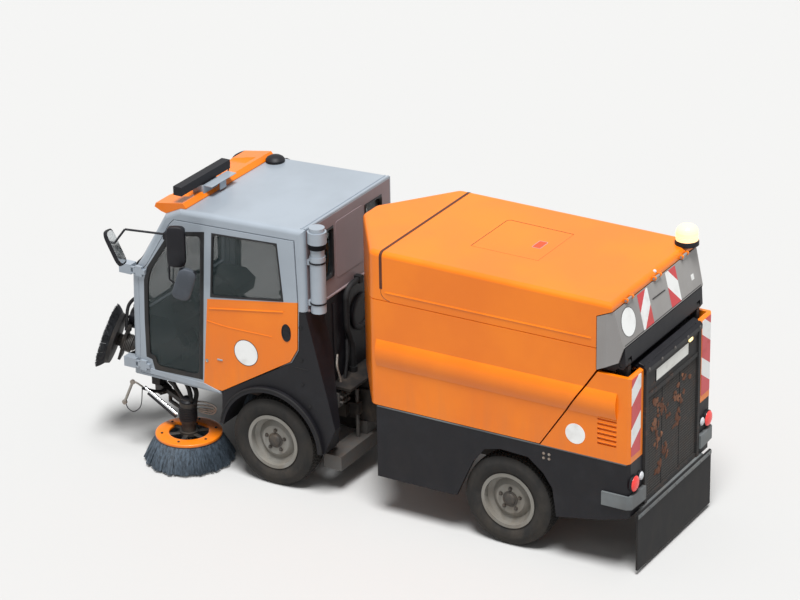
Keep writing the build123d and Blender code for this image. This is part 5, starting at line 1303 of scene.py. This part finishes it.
# Front device: motor with fins, clamps, a spring, rods, housings and ribbed hoses on the boom.
boomLook = dict(
    post=(0.08, -1.9, 0), clamps=(0.56, 0.7, 0.82), clamp=(0.034, 0.044, 0.022),
    fins=(-0.016, 0.036, 0.012), fin=(0.058, 0.07, 0.005),
    cap=((-0.02, 0), (-0.02, 0.05), (-0.036, 0.046), (-0.05, 0.03), (-0.052, 0)),
    plates=(((0.1, -1.955, 0.63), (0.36, -1.948, 0.78), 0.002), ((0.2, -1.99, 0.78), (0.27, -1.9, 0.8),
        0.003)),
    tower=(0.3, -1.98, 0),
    towerLow=((0.62, 0), (0.62, 0.036), (1.02, 0.036), (1.03, 0.03), (1.06, 0.03), (1.06, 0)),
    towerTop=((1.06, 0), (1.06, 0.014), (1.14, 0.012), (1.15, 0.026), (1.18, 0.026), (1.19, 0)),
    canister=(0.245, -2.09, 0.84), bar=(0.5, 0.88, 0.026), barSpot=(0.22, -1.985, 0),
    canisterSection=((0.0, 0), (0.0, 0.045), (0.1, 0.045), (0.11, 0.035), (0.11, 0)),
    blocks=(((0.17, -2.03, 0.9), (0.37, -1.955, 0.955), 0.008), ((0.2, -2.04, 0.6), (0.33, -1.95, 0.64),
        0.008)),
    spring=((0.12, -1.935, 0.705), (0.35, -2.005, 0.705), 0.014, 0.0024, 22),
    rods=((((0.1, -1.93, 0.845), (0.33, -1.99, 0.8)), 0.009), (((0.1, -1.885, 0.6), (0.36, -1.97, 0.6)),
        0.008)),
    hoses=((((0.09, -1.935, 0.87), (0.16, -1.99, 0.98), (0.28, -2.04, 0.96), (0.37, -2.02, 0.83)), 0.014),
        (((0.07, -1.935, 0.86), (0.14, -2.01, 1.03), (0.3, -2.06, 1.01), (0.4, -2.03, 0.84)), 0.013),
        (((0.12, -1.92, 0.58), (0.2, -1.99, 0.5), (0.3, -2.02, 0.52), (0.38, -2.01, 0.64)), 0.013)))


def coil(start, end, radius, wire, turns):
    # a helix between two points: centre + radius*(cos, sin), wound a number of times
    start, end = Vector(start), Vector(end)
    side = (end - start).orthogonal().normalized()
    up = (end - start).normalized().cross(side)
    t = np.linspace(0, 1, turns * 12 + 1)
    turn = t * turns * 2 * np.pi
    winding = np.outer(np.cos(turn), side) + np.outer(np.sin(turn), up)
    return tube(np.array(start) + np.outer(t, end - start) + radius * winding, wire, 6)


look = boomLook
motor = [*collars(np.arange(*look["fins"]), *look["fin"]), lathe(look["cap"], 32)]
clamps = collars(look["clamps"], *look["clamp"], 32, "Z", look["post"])
blocks, plates = ([slab(*block) for block in look[key]] for key in ("blocks", "plates"))
bulk = [lathe(look["towerLow"], 28, "Z", look["tower"]), lathe(look["towerTop"], 24, "Z", look["tower"]),
        lathe(look["canisterSection"], 28, "Y", look["canister"]),
        drum(*look["bar"], 24, "Z", look["barSpot"])]
rods = [coil(*look["spring"]), *[tube(*rod, 10) for rod in look["rods"]]]
boomSets = dict(
    boomBulk=("blackPlastic", bulk + blocks),
    boomMotor=("castMetal", [moved(joined(motor), reelPlace), *clamps, *plates]),
    boomRods=("bareSteel", rods),
    boomHoses=("blackRubber", [ribbedHose(*hose) for hose in look["hoses"]]),
)
for name, (finish, parts) in boomSets.items():
    addPiece(name, joined(parts), finish, "boom")
print("front device")

# Floor, light and camera.
stageLook = dict(
    floorSize=45.0, floorTone=(0.5, 0.5, 0.495), skyLight=0.42, keyLight=4.8, keyAngle=24,
    keyFrom=(0.28, 0.16, 1.0), backdrop=1.0)
reach = stageLook["floorSize"]
floorPoints = np.array([(-reach, -reach, 0), (reach, -reach, 0), (reach, reach, 0), (-reach, reach, 0)])
floor = addObject("floor", (floorPoints, [(0, 1, 2, 3)]))
floor.data.materials.append(Finish("floorPlain").finish(stageLook["floorTone"], 0.9))

scene.world = bpy.data.worlds.new("studio")
sky = Recipe(scene.world)
rays = sky.add("LightPath").outputs
seen = sum(Num(sky, rays[f"Is {kind} Ray"]) for kind in ("Camera", "Glossy", "Transmission")).clamped()
level = seen * (stageLook["backdrop"] - stageLook["skyLight"]) + stageLook["skyLight"]
background = sky.add("Background", {}, {"Strength": level})
sky.add("OutputWorld", {}, {"Surface": background.outputs[0]})

keyData = bpy.data.lights.new("key", "SUN")
keyData.energy, keyData.angle = stageLook["keyLight"], math.radians(stageLook["keyAngle"])
key = bpy.data.objects.new("key", keyData)
key.rotation_euler = Vector(stageLook["keyFrom"]).to_track_quat("Z", "Y").to_euler()
scene.collection.objects.link(key)

# angles in radians, the photograph's own view
view = dict(target=(0.0, 0.095, 1.3755), azimuth=2.1081832, elevation=0.4148648, roll=-0.0176278,
            distance=22.7883, lens=144.0, sensor=36.0, farthest=200.0)
az, el, roll = view["azimuth"], view["elevation"], view["roll"]
back = Vector((math.sin(az) * math.cos(el), -math.cos(az) * math.cos(el), math.sin(el)))
right = Vector((math.cos(az), math.sin(az), 0))
up = back.cross(right)
sideways = right * math.cos(roll) + up * math.sin(roll)
upright = up * math.cos(roll) - right * math.sin(roll)
cameraData = bpy.data.cameras.new("camera")
cameraData.lens, cameraData.sensor_width, cameraData.clip_end = view["lens"], view["sensor"], view["farthest"]
camera = bpy.data.objects.new("camera", cameraData)
turn = Matrix((sideways, upright, back)).transposed().to_4x4()
camera.matrix_world = Matrix.Translation(Vector(view["target"]) + back * view["distance"]) @ turn
scene.collection.objects.link(camera)
scene.camera = camera
scene.view_settings.view_transform = "Standard"
print("stage, light and camera")
